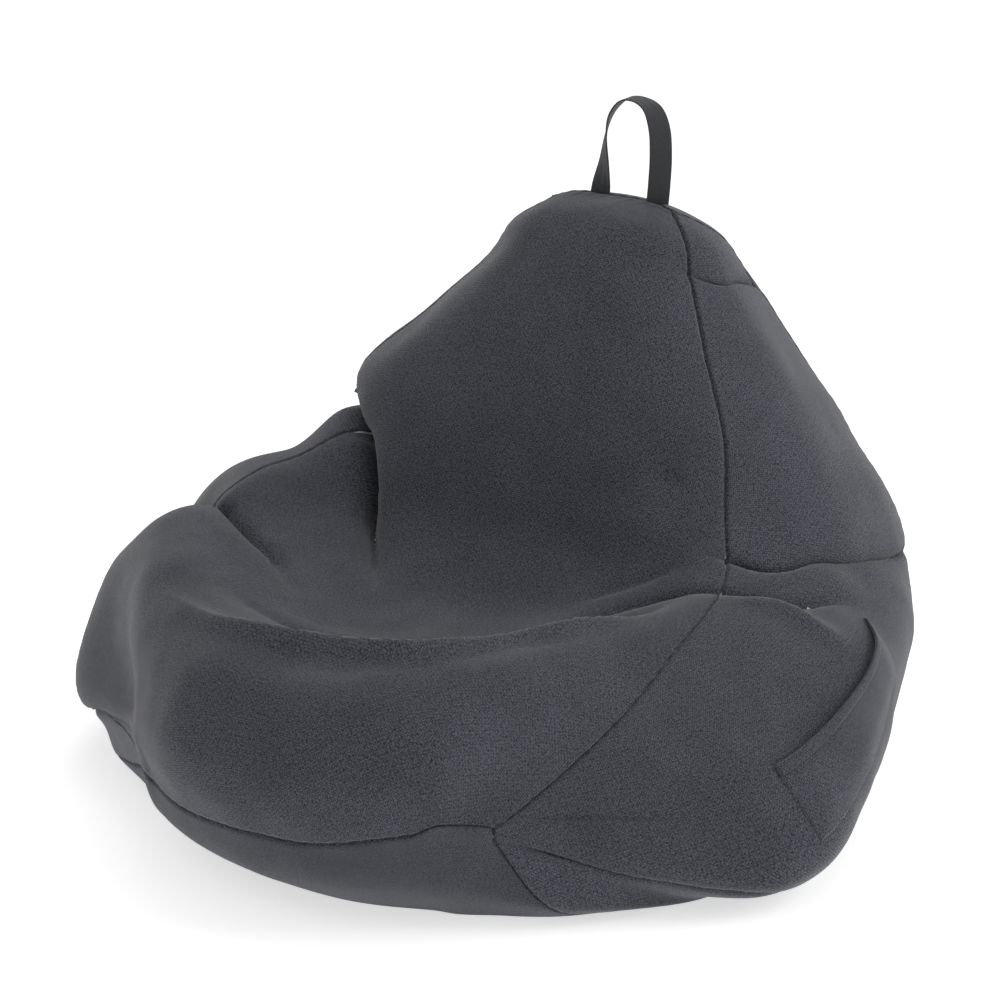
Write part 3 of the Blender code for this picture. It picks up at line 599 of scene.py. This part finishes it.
def between(tree, share, low, high):
    """From low to high as share goes from 0 to 1."""
    return node(tree, "ShaderNodeMapRange", {"Value": share, "To Min": low, "To Max": high}).outputs[0]


def shaded(tree, colour, factor):
    """A colour made lighter or darker by a factor."""
    return node(tree, "ShaderNodeVectorMath", {0: colour, "Scale": factor}, operation="SCALE").outputs[0]


def mixed(tree, share, first, second):
    made = node(tree, "ShaderNodeMix", data_type="RGBA")
    for index, value in ((0, share), (6, first), (7, second)):
        if isinstance(value, bpy.types.NodeSocket):
            tree.links.new(value, made.inputs[index])
        else:
            made.inputs[index].default_value = value
    return made.outputs[2]


def new_material(name, roughness, sheen=0.0, sheen_roughness=0.4, metallic=0.0, specular=0.5):
    material = bpy.data.materials.new(name)
    material.use_nodes = True
    shader = material.node_tree.nodes["Principled BSDF"]
    shader.inputs["Roughness"].default_value = roughness
    shader.inputs["Metallic"].default_value = metallic
    shader.inputs["Specular IOR Level"].default_value = specular
    shader.inputs["Sheen Weight"].default_value = sheen
    shader.inputs["Sheen Roughness"].default_value = sheen_roughness
    return material, material.node_tree, shader


def join_bump(tree, shader, height, strength, distance):
    bump = node(tree, "ShaderNodeBump", {"Height": height, "Strength": strength, "Distance": distance})
    tree.links.new(bump.outputs["Normal"], shader.inputs["Normal"])


# %% Woven cloth
def woven_cloth(name, dark, light, pitch=0.0024, turn=0.0, sheen=0.42):
    """Plain weave whose yarns are pitch metres apart, turned on the cloth's UV map."""
    material, tree, shader = new_material(name, 0.92, sheen, 0.30, specular=0.2)
    metres = node(tree, "ShaderNodeTexCoord").outputs["UV"]
    wander = node(tree, "ShaderNodeVectorMath", {0: node(tree, "ShaderNodeTexNoise", {
        "Vector": metres, "Scale": 60.0, "Detail": 1.0}).outputs["Color"], "Scale": 0.0012}, operation="SCALE")
    wandered = node(tree, "ShaderNodeVectorMath", {0: metres, 1: wander.outputs[0]}, operation="ADD").outputs[0]
    threads = stretched(tree, wandered, (math.pi / pitch, math.pi / pitch, 1), turn)
    split = node(tree, "ShaderNodeSeparateXYZ", {0: threads})
    warp, weft = (maths(tree, "SINE", split.outputs[axis]) for axis in (0, 1))
    over = maths(tree, "MULTIPLY", warp, weft)
    pillow = maths(tree, "POWER", maths(tree, "ABSOLUTE", over), 0.6)
    on_top = maths(tree, "GREATER_THAN", over, 0.0)
    along = noise(tree, stretched(tree, wandered, (700, 300, 1), turn), 1.0, 1.0)
    across = noise(tree, stretched(tree, wandered, (300, 700, 1), turn), 1.0, 1.0)
    yarn = node(tree, "ShaderNodeMix", {0: on_top, 2: along, 3: across}, data_type="FLOAT").outputs[0]
    fuzz = noise(tree, metres, 1000.0, 2.0, 0.7)
    rubbed = noise(tree, metres, 11.0, 3.0, 0.55)
    share = maths(tree, "ADD", maths(tree, "MULTIPLY", pillow, 0.42), maths(tree, "MULTIPLY", on_top, 0.20))
    share = maths(tree, "ADD", share, between(tree, yarn, -1.25, 1.45))
    share = maths(tree, "ADD", share, between(tree, fuzz, -0.55, 0.70), clamp=True)
    colour = mixed(tree, share, (*dark, 1), (*light, 1))
    tree.links.new(shaded(tree, colour, between(tree, rubbed, 0.78, 1.24)), shader.inputs["Base Color"])
    height = maths(tree, "ADD", maths(tree, "MULTIPLY", pillow, 0.8), maths(tree, "MULTIPLY", fuzz, 0.5))
    join_bump(tree, shader, height, 0.55, 0.0008)
    return material


cover_cloth = woven_cloth("charcoal cover cloth", (0.020, 0.021, 0.0255), (0.106, 0.110, 0.130))
# The base cloth is the cover cloth painted a little darker, as painted shade low on the sack by the floor, and
# given less sheen.
shaded_base_cloth = woven_cloth("charcoal base cloth painted darker", (0.020, 0.021, 0.0250), (0.104, 0.108, 0.127), sheen=0.3)
print("cloths:", cover_cloth.name, shaded_base_cloth.name)

# %% [markdown]
# The rear zip parts the rear panel from the strip below it, so those two stop 6 mm short of the zip line and the
# tapes and coils show between them.

# %% Make the cover
ROW_ABOVE, ROW_BELOW = 0.030, 0.040
ZIP_OPENING = 0.006


def zip_row(height):
    """The row this far above the zip line, or below it where negative."""
    return ZIP_ROW - height / (ROW_ABOVE if height > 0 else ROW_BELOW)


PANELS = (
    ("front_cover", "front_panel", -FRONT_SEAM, FRONT_SEAM, 0, BASE_ROW),
    ("left_side_cover", "side_panel_left", FRONT_SEAM, REAR_SEAM, 0, BASE_ROW),
    ("right_side_cover", "side_panel_right", COLUMNS - REAR_SEAM, COLUMNS - FRONT_SEAM, 0, BASE_ROW),
    ("rear_cover", "rear_panel", REAR_SEAM, COLUMNS - REAR_SEAM, 0, zip_row(ZIP_OPENING)),
    ("rear_lower_cover", "rear_lower_panel", REAR_SEAM, COLUMNS - REAR_SEAM, zip_row(-ZIP_OPENING), BASE_ROW),
)
for name, cad_node, start, end, top, bottom in PANELS:
    panel = cover_panel(name, start, end, top, bottom)
    settle(panel, cad_node, cover_cloth)

# %% [markdown]
# The base is one round piece of stronger cloth; its colour is the cover's, painted a little darker as painted shade
# near the floor. It rolls up from the floor to meet the other panels in the base seam, and lies flat underneath.
# Its rings go down from the seam to the floor and then in to the middle.

# %% Make the base
def ring_stack(columns, rows, rings_in):
    """Points of the base: rings down to the floor, then flat rings in towards the middle."""
    points = sculpted(*laid(*np.meshgrid(columns, rows)))
    edge = points[-1]
    middle = edge.mean(0)
    inward = [edge + (middle - edge) * share for share in np.linspace(0, 0.96, rings_in + 1)[1:]]
    return np.concatenate([points, inward])


def fill_middle(obj):
    """Closes the small hole left in the middle of flat rings."""
    bm = bmesh.new()
    bm.from_mesh(obj.data)
    bmesh.ops.holes_fill(bm, edges=[e for e in bm.edges if e.is_boundary and e.calc_length() < 0.012
                                    and sum(abs(v.co.z - e.verts[0].co.z) for v in e.verts) < 1e-5], sides=0)
    bm.to_mesh(obj.data)
    bm.free()


base_columns = np.linspace(0, COLUMNS, 441)[:-1]
base_points = ring_stack(base_columns, np.concatenate([[13, 13.012, 13.028, 13.05, 13.08],
                                                       np.linspace(13.14, 15, 26)]), 26)
base_down = walked_along(base_points, 0)
base_seam = SEAM_DEPTH * np.exp(-(base_down / SEAM_ROUND) ** 2)
wrapped = np.concatenate([base_points[:, -1:], base_points, base_points[:, :1]], axis=1)
base_points = base_points - grid_normals(wrapped)[:, 1:-1] * base_seam[..., None]
base_uv = base_points[..., :2] * (1 + base_points[..., [2]] / 0.25)    # the wall laid out flat round the floor
base = grid_object("base_cover", base_points, base_uv, wrap=True)
fill_middle(base)
give_thickness(base, FABRIC)
settle(base, "base_panel", shaded_base_cloth)
print("base:", base_points.shape)

# %% [markdown]
# ## Side pocket
# A patch of the cover cloth is sewn on the side at the sitter's left, slanting forward. Three edges are turned in
# and sewn down; the fourth is the mouth, hemmed with a narrow binding and standing a little open in the middle.
# It is a sheet over the cover: it follows the sculpted surface and is lifted off it, and its sewn edges come down.

# %% Pocket sheet
POCKET_CORNERS = ((4.02, 6.50), (3.57, 8.90), (3.89, 9.95), (4.20, 7.45))
POCKET_GAPE, POCKET_CLEAR = 0.005, 0.0022


def pocket_points(alongs, downs, lift):
    """Points of the pocket: along its mouth from the rear, down from the mouth, lifted off its own cloth."""
    along, down = np.meshgrid(alongs, downs)
    rear_top, front_top, front_low, rear_low = (np.array(corner) for corner in POCKET_CORNERS)
    top = rear_top + (front_top - rear_top) * along[..., None]
    low = rear_low + (front_low - rear_low) * along[..., None]
    place = top + (low - top) * down[..., None]
    columns, rows = place[..., 0], place[..., 1]
    edge = np.minimum(np.minimum(along, 1 - along) * 0.29, (1 - down) * 0.11)
    gape = POCKET_GAPE * np.sin(math.pi * along) * (1 - down) ** 1.5
    billow = 0.004 * ease(edge / 0.05) - 0.0030 * np.exp(-(edge / 0.0028) ** 2)
    up = (POCKET_CLEAR + gape + billow + lift)[..., None]
    return sculpted(columns, rows) + sack_normals(columns, rows) * up


def near_ends(count, close=(0.004, 0.009, 0.016)):
    inner = np.linspace(0.025, 0.975, count)
    return np.concatenate([[0], close, inner, 1 - np.array(close)[::-1], [1]])


pocket_grid = pocket_points(near_ends(72), near_ends(52), 0.0)
pocket_uv = np.stack([walked_along(pocket_grid, 1), -walked_along(pocket_grid, 0)], -1)
pocket = grid_object("pocket", pocket_grid[:, ::-1], pocket_uv[:, ::-1])
give_thickness(pocket, FABRIC)
settle(pocket, "side_pocket", cover_cloth)
pocket_wide, pocket_high = walked_along(pocket_grid, 1)[:, -1].mean(), walked_along(pocket_grid, 0)[-1].mean()
print(f"pocket: {pocket_wide:.3f} x {pocket_high:.3f} m as it lies")

# %% Hem binding along the mouth
HEM_WIDTH, HEM_LIFT, HEM_THICK = 0.010, 0.0004, 0.0009
hem_downs = np.concatenate([[0], np.linspace(0.2, 0.8, 3) * HEM_WIDTH / pocket_high, [HEM_WIDTH / pocket_high]])
hem_grid = pocket_points(near_ends(72)[1:-1], hem_downs, FABRIC + HEM_LIFT)
hem_grid[[0, -1]] += grid_normals(hem_grid)[[0, -1]] * HEM_LIFT    # its two edges stand up a little
hem_uv = np.stack([walked_along(hem_grid, 1), -walked_along(hem_grid, 0)], -1)
hem = grid_object("pocket_hem_binding", hem_grid[:, ::-1], hem_uv[:, ::-1])
give_thickness(hem, HEM_THICK)
settle(hem, "pocket_hem", cover_cloth)
print("hem:", len(hem.data.vertices), "points")

# %% [markdown]
# ## Carry handle
# The handle is 25 mm webbing. Its ends go down into the top seam with their width along the seam, and as the loop
# rises the webbing twists, so that it passes over the top nearly level, as a hand needs it. A few knots give the
# middle line and which way the width faces there. Webbing is woven in a herringbone, with a round selvedge at each
# edge. It is too narrow and too stiff to sag, so it is modelled directly.

# %% Webbing
STRAP_FOOT = np.array((-0.012, 0.285, 0.5918))
STRAP_HALF_WIDTH, STRAP_THICK = 0.0125, 0.0018
STRAP_KNOTS = (    # sideways, up, and the width's direction in degrees seen from above
    (-.0375, -.0065, 180), (-.0360, .004, 176), (-.0325, .030, 148), (-.0300, .062, 124), (-.0225, .088, 106),
    (-.0060, .1055, 94), (.0140, .1075, 84), (.0310, .0980, 66), (.0400, .076, 48), (.0420, .046, 38),
    (.0405, .016, 32), (.0385, -.0065, 26),
)


def strap_grid(count=130, across=11):
    """Points of the webbing's middle surface, and its UV map in metres."""
    line = line_through(STRAP_KNOTS, count)
    middle = np.stack([line[:, 0], np.zeros(count), line[:, 1]], -1)
    facing = np.radians(line[:, 2])
    width = np.stack([np.cos(facing), np.sin(facing), np.zeros(count)], -1)
    along = unit(np.gradient(middle, axis=0))
    width = unit(width - along * (width * along).sum(1)[:, None])
    share = np.linspace(-1, 1, across)
    grid = STRAP_FOOT + middle[:, None] + width[:, None] * (share * STRAP_HALF_WIDTH)[:, None]
    uv = np.stack(np.broadcast_arrays(share * STRAP_HALF_WIDTH, walked_line(middle)[:, None]), -1)
    return grid, uv


def webbing(name, dark, light):
    """Herringbone: yarns slant one way and then the other in bands across the webbing."""
    material, tree, shader = new_material(name, 0.8, 0.25, 0.4, specular=0.35)
    metres = node(tree, "ShaderNodeTexCoord").outputs["UV"]
    split = node(tree, "ShaderNodeSeparateXYZ", {0: metres})
    band = maths(tree, "PINGPONG", maths(tree, "ADD", split.outputs[0], 0.1), 0.0042)
    slant = maths(tree, "ADD", split.outputs[1], maths(tree, "MULTIPLY", band, 0.9))
    ribs = maths(tree, "SINE", maths(tree, "MULTIPLY", slant, 2 * math.pi / 0.0019))
    fibres = noise(tree, stretched(tree, metres, (1400, 260, 1)), 1.0, 2.0)
    share = maths(tree, "ADD", between(tree, ribs, 0.22, 0.62), between(tree, fibres, -0.3, 0.35), clamp=True)
    tree.links.new(mixed(tree, share, (*dark, 1), (*light, 1)), shader.inputs["Base Color"])
    join_bump(tree, shader, maths(tree, "ADD", ribs, fibres), 0.5, 0.0005)
    return material


strap_points, strap_uv = strap_grid()
strap = grid_object("handle_webbing", strap_points, strap_uv)
solid = strap.modifiers.new("webbing thickness", "SOLIDIFY")
solid.thickness, solid.offset = STRAP_THICK, 0
soft_edge = strap.modifiers.new("round selvedge", "BEVEL")
soft_edge.width, soft_edge.segments, soft_edge.limit_method = 0.0006, 2, "ANGLE"
apply_all(strap)
strap_webbing = webbing("black twill webbing", (0.012, 0.0125, 0.015), (0.085, 0.088, 0.097))
strap.data.materials.append(strap_webbing)
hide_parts("carry_handle")
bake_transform(strap)
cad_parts["handle_anchor_patch"].data.materials.clear()
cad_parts["handle_anchor_patch"].data.materials.append(strap_webbing)
print("webbing:", round(float(strap_uv[-1, 0, 1]), 4), "m long")

# %% [markdown]
# ## Cover zip
# The rear zip lets the cover off for washing. Two woven tapes lie behind the folded edges of the panels, and each
# carries a nylon coil: hundreds of little loops of one thick thread, that hook into those of the other coil. One
# loop is modelled and copied along the arc. The slider rides the coils, its pull swings on a pin, and a stop at
# each end keeps the slider on.

# %% Tapes
TAPE_PAST = 0.25
ZIP_RADIUS, ZIP_REAR, ZIP_HEIGHT = 0.80, 0.455, 0.095
ZIP_AXIS = np.array((-SWAY * ZIP_REAR, ZIP_REAR - ZIP_RADIUS, ZIP_HEIGHT)) + MIDDLE
TAPE_WIDTH, TAPE_FROM, TAPE_DEPTH, TAPE_THICK = 0.013, 0.0006, 0.0020, 0.0007


def tape_weave(name):
    """Fine ribs along the tape."""
    material, tree, shader = new_material(name, 0.85, 0.15)
    metres = node(tree, "ShaderNodeTexCoord").outputs["UV"]
    split = node(tree, "ShaderNodeSeparateXYZ", {0: metres})
    ribs = maths(tree, "SINE", maths(tree, "MULTIPLY", split.outputs[1], 2 * math.pi / 0.0011))
    knots = maths(tree, "SINE", maths(tree, "MULTIPLY", split.outputs[0], 2 * math.pi / 0.0008))
    share = between(tree, maths(tree, "MULTIPLY", ribs, knots), 0.1, 0.8)
    tree.links.new(mixed(tree, share, (0.014, 0.0145, 0.017, 1), (0.048, 0.050, 0.056, 1)),
                   shader.inputs["Base Color"])
    join_bump(tree, shader, ribs, 0.4, 0.0003)
    return material


zip_weave = tape_weave("black zip tape")
for name, cad_node, near_height, far_height in (("upper_tape", "zip_tape_upper", TAPE_FROM, TAPE_WIDTH),
                                                ("lower_tape", "zip_tape_lower", -TAPE_FROM, -TAPE_WIDTH)):
    top, bottom = sorted((zip_row(near_height), zip_row(far_height)))
    tape_columns, tape_rows = np.meshgrid(np.linspace(ZIP_COLUMNS[0] - TAPE_PAST, ZIP_COLUMNS[1] + TAPE_PAST, 120),
                                          np.linspace(top, bottom, 6))
    tape_grid = sculpted(tape_columns, tape_rows) - sack_normals(tape_columns, tape_rows) * TAPE_DEPTH
    tape_uv = np.stack([walked_along(tape_grid, 1), -walked_along(tape_grid, 0)], -1)
    tape = grid_object(name, tape_grid, tape_uv)
    give_thickness(tape, TAPE_THICK)
    settle(tape, cad_node, zip_weave)
    print(name, "is", round(float(tape_uv[0, -1, 0]), 3), "m long")


# %% One loop of the coil, copied along the zip
def template(obj):
    """A modelled object's points and faces, and the object is removed."""
    obj.data.transform(obj.matrix_world)
    points = np.array([v.co for v in obj.data.vertices])
    faces = [tuple(p.vertices) for p in obj.data.polygons]
    bpy.data.objects.remove(obj)
    return points, faces


def copies(name, shape, places, frames):
    """One mesh with a copy of a shape at each place, turned by each frame (its axes as rows)."""
    points, faces = shape
    every = np.concatenate([place + points @ axes for place, axes in zip(places, frames)])
    count = len(points)
    mesh = bpy.data.meshes.new(name)
    mesh.from_pydata(every.tolist(), [], [tuple(v + count * k for v in face)
                                          for k in range(len(places)) for face in faces])
    mesh.shade_smooth()
    obj = bpy.data.objects.new(name, mesh)
    bpy.context.scene.collection.objects.link(obj)
    return obj


def along_zip(height, spacing, inward):
    """Places and frames (along, out, up) every spacing metres along the zip, this far above its line."""
    columns = np.linspace(ZIP_COLUMNS[0] + 0.09, ZIP_COLUMNS[1] - 0.09, 2000)
    rows = np.full(2000, zip_row(height))
    line = smooth_sack(columns, rows) - sack_normals(columns, rows) * inward
    walked = walked_line(line)
    at = np.arange(spacing / 2, walked[-1], spacing)
    places = np.stack([np.interp(at, walked, line[:, k]) for k in range(3)], -1)
    along = unit(np.gradient(places, axis=0))
    up = unit(np.array((0, 0, 1.0)) - along * along[:, [2]])
    return places, np.stack([along, np.cross(up, along), up], 1)


COIL_WIRE, COIL_PITCH, COIL_HEIGHT = 0.00042, 0.0018, 0.0013
deselect()
bpy.ops.mesh.primitive_torus_add(major_segments=10, minor_segments=5, major_radius=0.0011, minor_radius=COIL_WIRE,
                                 rotation=(0, math.pi / 2, 0))
bpy.ops.object.mode_set(mode="EDIT")
bpy.ops.mesh.select_all(action="SELECT")
bpy.ops.transform.resize(value=(1, 0.85, 1.25))
bpy.ops.object.mode_set(mode="OBJECT")
coil_loop = template(bpy.context.object)
nylon, nylon_tree, nylon_shader = new_material("black nylon coil", 0.42)
worn = noise(nylon_tree, node(nylon_tree, "ShaderNodeTexCoord").outputs["Object"], 260.0, 3.0)
nylon_tree.links.new(mixed(nylon_tree, worn, (0.010, 0.010, 0.012, 1), (0.030, 0.031, 0.034, 1)),
                     nylon_shader.inputs["Base Color"])
for name, cad_node, side in (("upper_coil", "zip_coil_upper", 1), ("lower_coil", "zip_coil_lower", -1)):
    places, frames = along_zip(side * COIL_HEIGHT, COIL_PITCH, 0.0006)
    shifted = places + frames[:, 0] * (COIL_PITCH / 4 * side)
    coil = copies(name, coil_loop, shifted, frames)
    settle(coil, cad_node, nylon)
    print(name, len(places), "loops")

# %% [markdown]
# The slider is die-cast: a rounded shield a little wider at the open end, with a raised bridge that holds the pin.
# The pull is a flat tab with an eye at the pin, a waist, a ribbed grip and a rounded end. Each starts as a block
# and is shaped in edit mode, then gets its bevels, and is set down at its place on the zip.

# %% Slider and pull
SLIDER_TURN = math.radians(-15)
SLIDER_LIFT, SLIDER_SIZE = 0.0046, (0.0110, 0.0020, 0.0085)
PIN_OUT = 0.0026
pin_radius = ZIP_RADIUS + SLIDER_LIFT + SLIDER_SIZE[1] + PIN_OUT
out_there = np.array((-math.sin(SLIDER_TURN), math.cos(SLIDER_TURN), 0))
along_there = np.array((math.cos(SLIDER_TURN), math.sin(SLIDER_TURN), 0))
ZIP_FRAME = np.stack([along_there, out_there, (0, 0, 1)])


def block(size, middle):
    """A block, selected and ready to shape."""
    deselect()
    bpy.ops.mesh.primitive_cube_add(size=1, location=middle)
    obj = bpy.context.object
    obj.scale = size
    bpy.ops.object.transform_apply(location=True, rotation=False, scale=True)
    return obj


def select_where(obj, test, kind="VERT"):
    """Selects the vertices, edges or faces whose middle passes a test, with the object in edit mode."""
    bpy.ops.object.mode_set(mode="EDIT")
    bpy.ops.mesh.select_mode(type=kind)
    bpy.ops.mesh.select_all(action="DESELECT")
    bm = bmesh.from_edit_mesh(obj.data)
    for item in {"VERT": bm.verts, "EDGE": bm.edges, "FACE": bm.faces}[kind]:
        middle = item.co if kind == "VERT" else sum((v.co for v in item.verts), Vector()) / len(item.verts)
        if test(middle):
            item.select_set(True)
    bmesh.update_edit_mesh(obj.data)


def rounded(obj, width, segments=3):
    bpy.ops.object.mode_set(mode="OBJECT")
    bevel = obj.modifiers.new("rounded edges", "BEVEL")
    bevel.width, bevel.segments, bevel.limit_method = width, segments, "ANGLE"
    apply_all(obj)


def joined(objects, name):
    """Blocks and rods made one body by exact unions."""
    first = objects[0]
    for other in objects[1:]:
        union = first.modifiers.new("joined", "BOOLEAN")
        union.operation, union.solver, union.object = "UNION", "EXACT", other
    apply_all(first)
    for other in objects[1:]:
        bpy.data.objects.remove(other)
    first.name = name
    return first


def set_down(obj, centre):
    """Puts a piece that was modelled at the world's middle in its place on the zip."""
    points = np.array([v.co for v in obj.data.vertices]) @ ZIP_FRAME + centre
    obj.data.vertices.foreach_set("co", points.astype(np.float32).ravel())
    obj.data.update()
    activate(obj)
    bpy.ops.object.shade_smooth_by_angle(angle=math.radians(40))


def rod(radius, height, middle, sides=20):
    deselect()
    bpy.ops.mesh.primitive_cylinder_add(vertices=sides, radius=radius, depth=height, location=middle)
    return bpy.context.object


SHIELD = SLIDER_SIZE
plate = block(SHIELD, (0, -PIN_OUT - SHIELD[1] / 2, 0))
select_where(plate, lambda at: at.x > 0)
bpy.ops.transform.resize(value=(1, 1, 0.72))
select_where(plate, lambda at: at.y > -PIN_OUT - 1e-5, "FACE")
bpy.ops.mesh.inset(thickness=0.0012)
bpy.ops.transform.translate(value=(0, 0.0003, 0))
rounded(plate, 0.0005)
lugs = []
for side in (-1, 1):
    lug = block((0.0040, 0.0048, 0.0010), (0, -0.0010, side * 0.0022))
    select_where(lug, lambda at: at.y > 0.001)
    bpy.ops.transform.resize(value=(0.55, 1, 1))
    rounded(lug, 0.0003, 2)
    lugs.append(lug)
pin = rod(0.0007, 0.0050, (0, 0, 0))
rounded(pin, 0.00015, 2)
slider = joined([plate, *lugs, pin], "slider_body")
set_down(slider, ZIP_AXIS + out_there * pin_radius)

PULL_LENGTH, PULL_WIDTH, PULL_THICK = 0.0260, 0.0046, 0.0012
tab = block((PULL_LENGTH - 0.0045, PULL_THICK, PULL_WIDTH), ((PULL_LENGTH + 0.0045) / 2, 0, 0))
select_where(tab, lambda at: True)
bpy.ops.mesh.subdivide(number_cuts=6)
select_where(tab, lambda at: 0.0035 < at.x < 0.0075)
bpy.ops.transform.resize(value=(1, 1, 0.70))
select_where(tab, lambda at: at.x > PULL_LENGTH - 0.002)
bpy.ops.transform.resize(value=(1, 1, 0.72))
rounded(tab, 0.00025, 2)
neck = block((0.0036, PULL_THICK, 0.0024), (0.0032, 0, 0))
rounded(neck, 0.0002, 2)
eye = rod(0.0020, 0.0026, (0, 0, 0), 28)
rounded(eye, 0.0003, 3)
ribs = []
for step in range(6):
    rib = block((0.0009, PULL_THICK + 0.0007, PULL_WIDTH * 0.72), (0.0125 + step * 0.0019, 0, 0))
    rounded(rib, 0.0003, 2)
    ribs.append(rib)
pull = joined([tab, neck, eye, *ribs], "pull_tab")
hole = rod(0.0011, 0.008, (0, 0, 0), 24)
cut = pull.modifiers.new("eye", "BOOLEAN")
cut.operation, cut.solver, cut.object = "DIFFERENCE", "EXACT", hole
apply_all(pull)
bpy.data.objects.remove(hole)
set_down(pull, ZIP_AXIS + out_there * pin_radius)


def lacquered_metal(name):
    """Dark lacquer over die-cast metal, with fine scratches and rubbed places."""
    material, tree, shader = new_material(name, 0.34, metallic=1.0)
    places = node(tree, "ShaderNodeTexCoord").outputs["Object"]
    scratches = noise(tree, stretched(tree, places, (300, 300, 4000)), 1.0, 3.0, 0.7)
    rubbed = noise(tree, places, 420.0, 3.0)
    share = maths(tree, "MULTIPLY", scratches, rubbed)
    tree.links.new(mixed(tree, between(tree, share, -0.2, 1.6), (0.045, 0.046, 0.050, 1), (0.20, 0.20, 0.21, 1)),
                   shader.inputs["Base Color"])
    tree.links.new(between(tree, scratches, 0.22, 0.50), shader.inputs["Roughness"])
    join_bump(tree, shader, scratches, 0.15, 0.0002)
    return material


dark_metal = lacquered_metal("dark lacquered metal")
settle(slider, "zip_slider", dark_metal, "slider")
settle(pull, "zip_pull", dark_metal, "pull")
print("slider and pull:", len(slider.data.vertices), len(pull.data.vertices), "points")

# %% [markdown]
# The stops are small clamped bars, the liner's own slider is bare, and the liner's zip lies straight. These keep
# their CAD solids and only take the finishes.

# %% Small zip pieces that keep their CAD solids
for names, finish in ((("zip_closed_end_stop", "zip_open_end_stop", "liner_zip_slider"), dark_metal),
                      (("liner_zip_coil_front", "liner_zip_coil_rear"), nylon),
                      (("liner_zip_tape_front", "liner_zip_tape_rear"), zip_weave)):
    for cad_name in names:
        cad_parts[cad_name].data.materials.clear()
        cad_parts[cad_name].data.materials.append(finish)
        print(cad_name, "takes", finish.name)

# %% [markdown]
# ## Liner and beads
# Under the cover is a light woven liner, closed by its own zip underneath, and inside it the beads. They don't
# show, but they follow the cover everywhere, creases too, at the depth of the cloth above them. Both are stacks of
# rings a little inside the cover. The liner's underside keeps the slot in which its zip lies.

# %% Skins inside the cover
LINER_DEPTH, LINER_FLOOR, LINER_CLOTH = 0.0052, 0.0105, 0.0008
FILL_DEPTH, FILL_FLOOR = 0.0085, 0.0140
LINER_ZIP_Y, LINER_ZIP_HALF, LINER_SLOT_HALF = 0.02, 0.15, 0.016


def inner_rings(depth, lowest, rounds=200, downs=150):
    """Rings of points inside the cover, and none below the lowest height."""
    columns, rows = np.meshgrid(np.linspace(0, COLUMNS, rounds + 1)[:-1],
                                np.linspace(0.7, LAST_ROW, downs))
    points = sculpted(columns, rows) - sack_normals(columns, rows) * (depth + 0.004 * ease(2 - rows))[..., None]
    points[..., 2] = np.maximum(points[..., 2], lowest)
    return points


def ring_uv(points):
    return np.stack([walked_along(points, 1), -walked_along(points, 0)], -1)


def cap_rim(bm, high):
    """Closes the open rim at the top, or at the bottom, with one face."""
    middle = sum(v.co.z for v in bm.verts) / len(bm.verts)
    rim = [e for e in bm.edges if e.is_boundary and (e.verts[0].co.z > middle) == high]
    return bmesh.ops.triangle_fill(bm, use_beauty=True, edges=rim)


def build_liner():
    liner_points = inner_rings(LINER_DEPTH, LINER_FLOOR)
    obj = grid_object("liner", liner_points, ring_uv(liner_points), wrap=True)
    bm = bmesh.new()
    bm.from_mesh(obj.data)
    cap_rim(bm, True)
    low_rim = [e for e in bm.edges if e.is_boundary]
    corners = [bm.verts.new((x, LINER_ZIP_Y + y, LINER_FLOOR)) for x, y in (
        (-LINER_ZIP_HALF, -LINER_SLOT_HALF), (LINER_ZIP_HALF, -LINER_SLOT_HALF),
        (LINER_ZIP_HALF, LINER_SLOT_HALF), (-LINER_ZIP_HALF, LINER_SLOT_HALF))]
    slot_rim = [bm.edges.new((corners[k], corners[(k + 1) % 4])) for k in range(4)]
    bmesh.ops.triangle_fill(bm, use_beauty=True, edges=low_rim + slot_rim, normal=(0, 0, -1))
    bmesh.ops.delete(bm, geom=[f for f in bm.faces if all(v in corners for v in f.verts)], context="FACES_ONLY")
    bmesh.ops.recalc_face_normals(bm, faces=bm.faces[:])
    bm.to_mesh(obj.data)
    bm.free()
    give_thickness(obj, LINER_CLOTH)
    return obj


def build_beads():
    bead_points = inner_rings(FILL_DEPTH, FILL_FLOOR)
    obj = grid_object("beads", bead_points, ring_uv(bead_points), wrap=True)
    bm = bmesh.new()
    bm.from_mesh(obj.data)
    cap_rim(bm, True)
    cap_rim(bm, False)
    bmesh.ops.recalc_face_normals(bm, faces=bm.faces[:])
    bm.to_mesh(obj.data)
    bm.free()
    return obj


liner_cloth = woven_cloth("white liner cloth", (0.42, 0.42, 0.41), (0.80, 0.80, 0.78), pitch=0.0012, sheen=0.1)
bead_finish, bead_tree, bead_shader = new_material("white foam beads", 0.6)
places = node(bead_tree, "ShaderNodeTexCoord").outputs["Object"]
cells = node(bead_tree, "ShaderNodeTexVoronoi", {"Vector": places, "Scale": 230.0})
bead_tree.links.new(mixed(bead_tree, cells.outputs["Distance"], (0.93, 0.93, 0.91, 1), (0.60, 0.60, 0.58, 1)),
                    bead_shader.inputs["Base Color"])
join_bump(bead_tree, bead_shader, maths(bead_tree, "SUBTRACT", 1.0, cells.outputs["Distance"]), 0.9, 0.002)
liner = build_liner()
settle(liner, "inner_liner", liner_cloth)
beads = build_beads()
settle(beads, "bean_fill", bead_finish)
print("liner and beads:", len(liner.data.vertices), len(beads.data.vertices), "points")
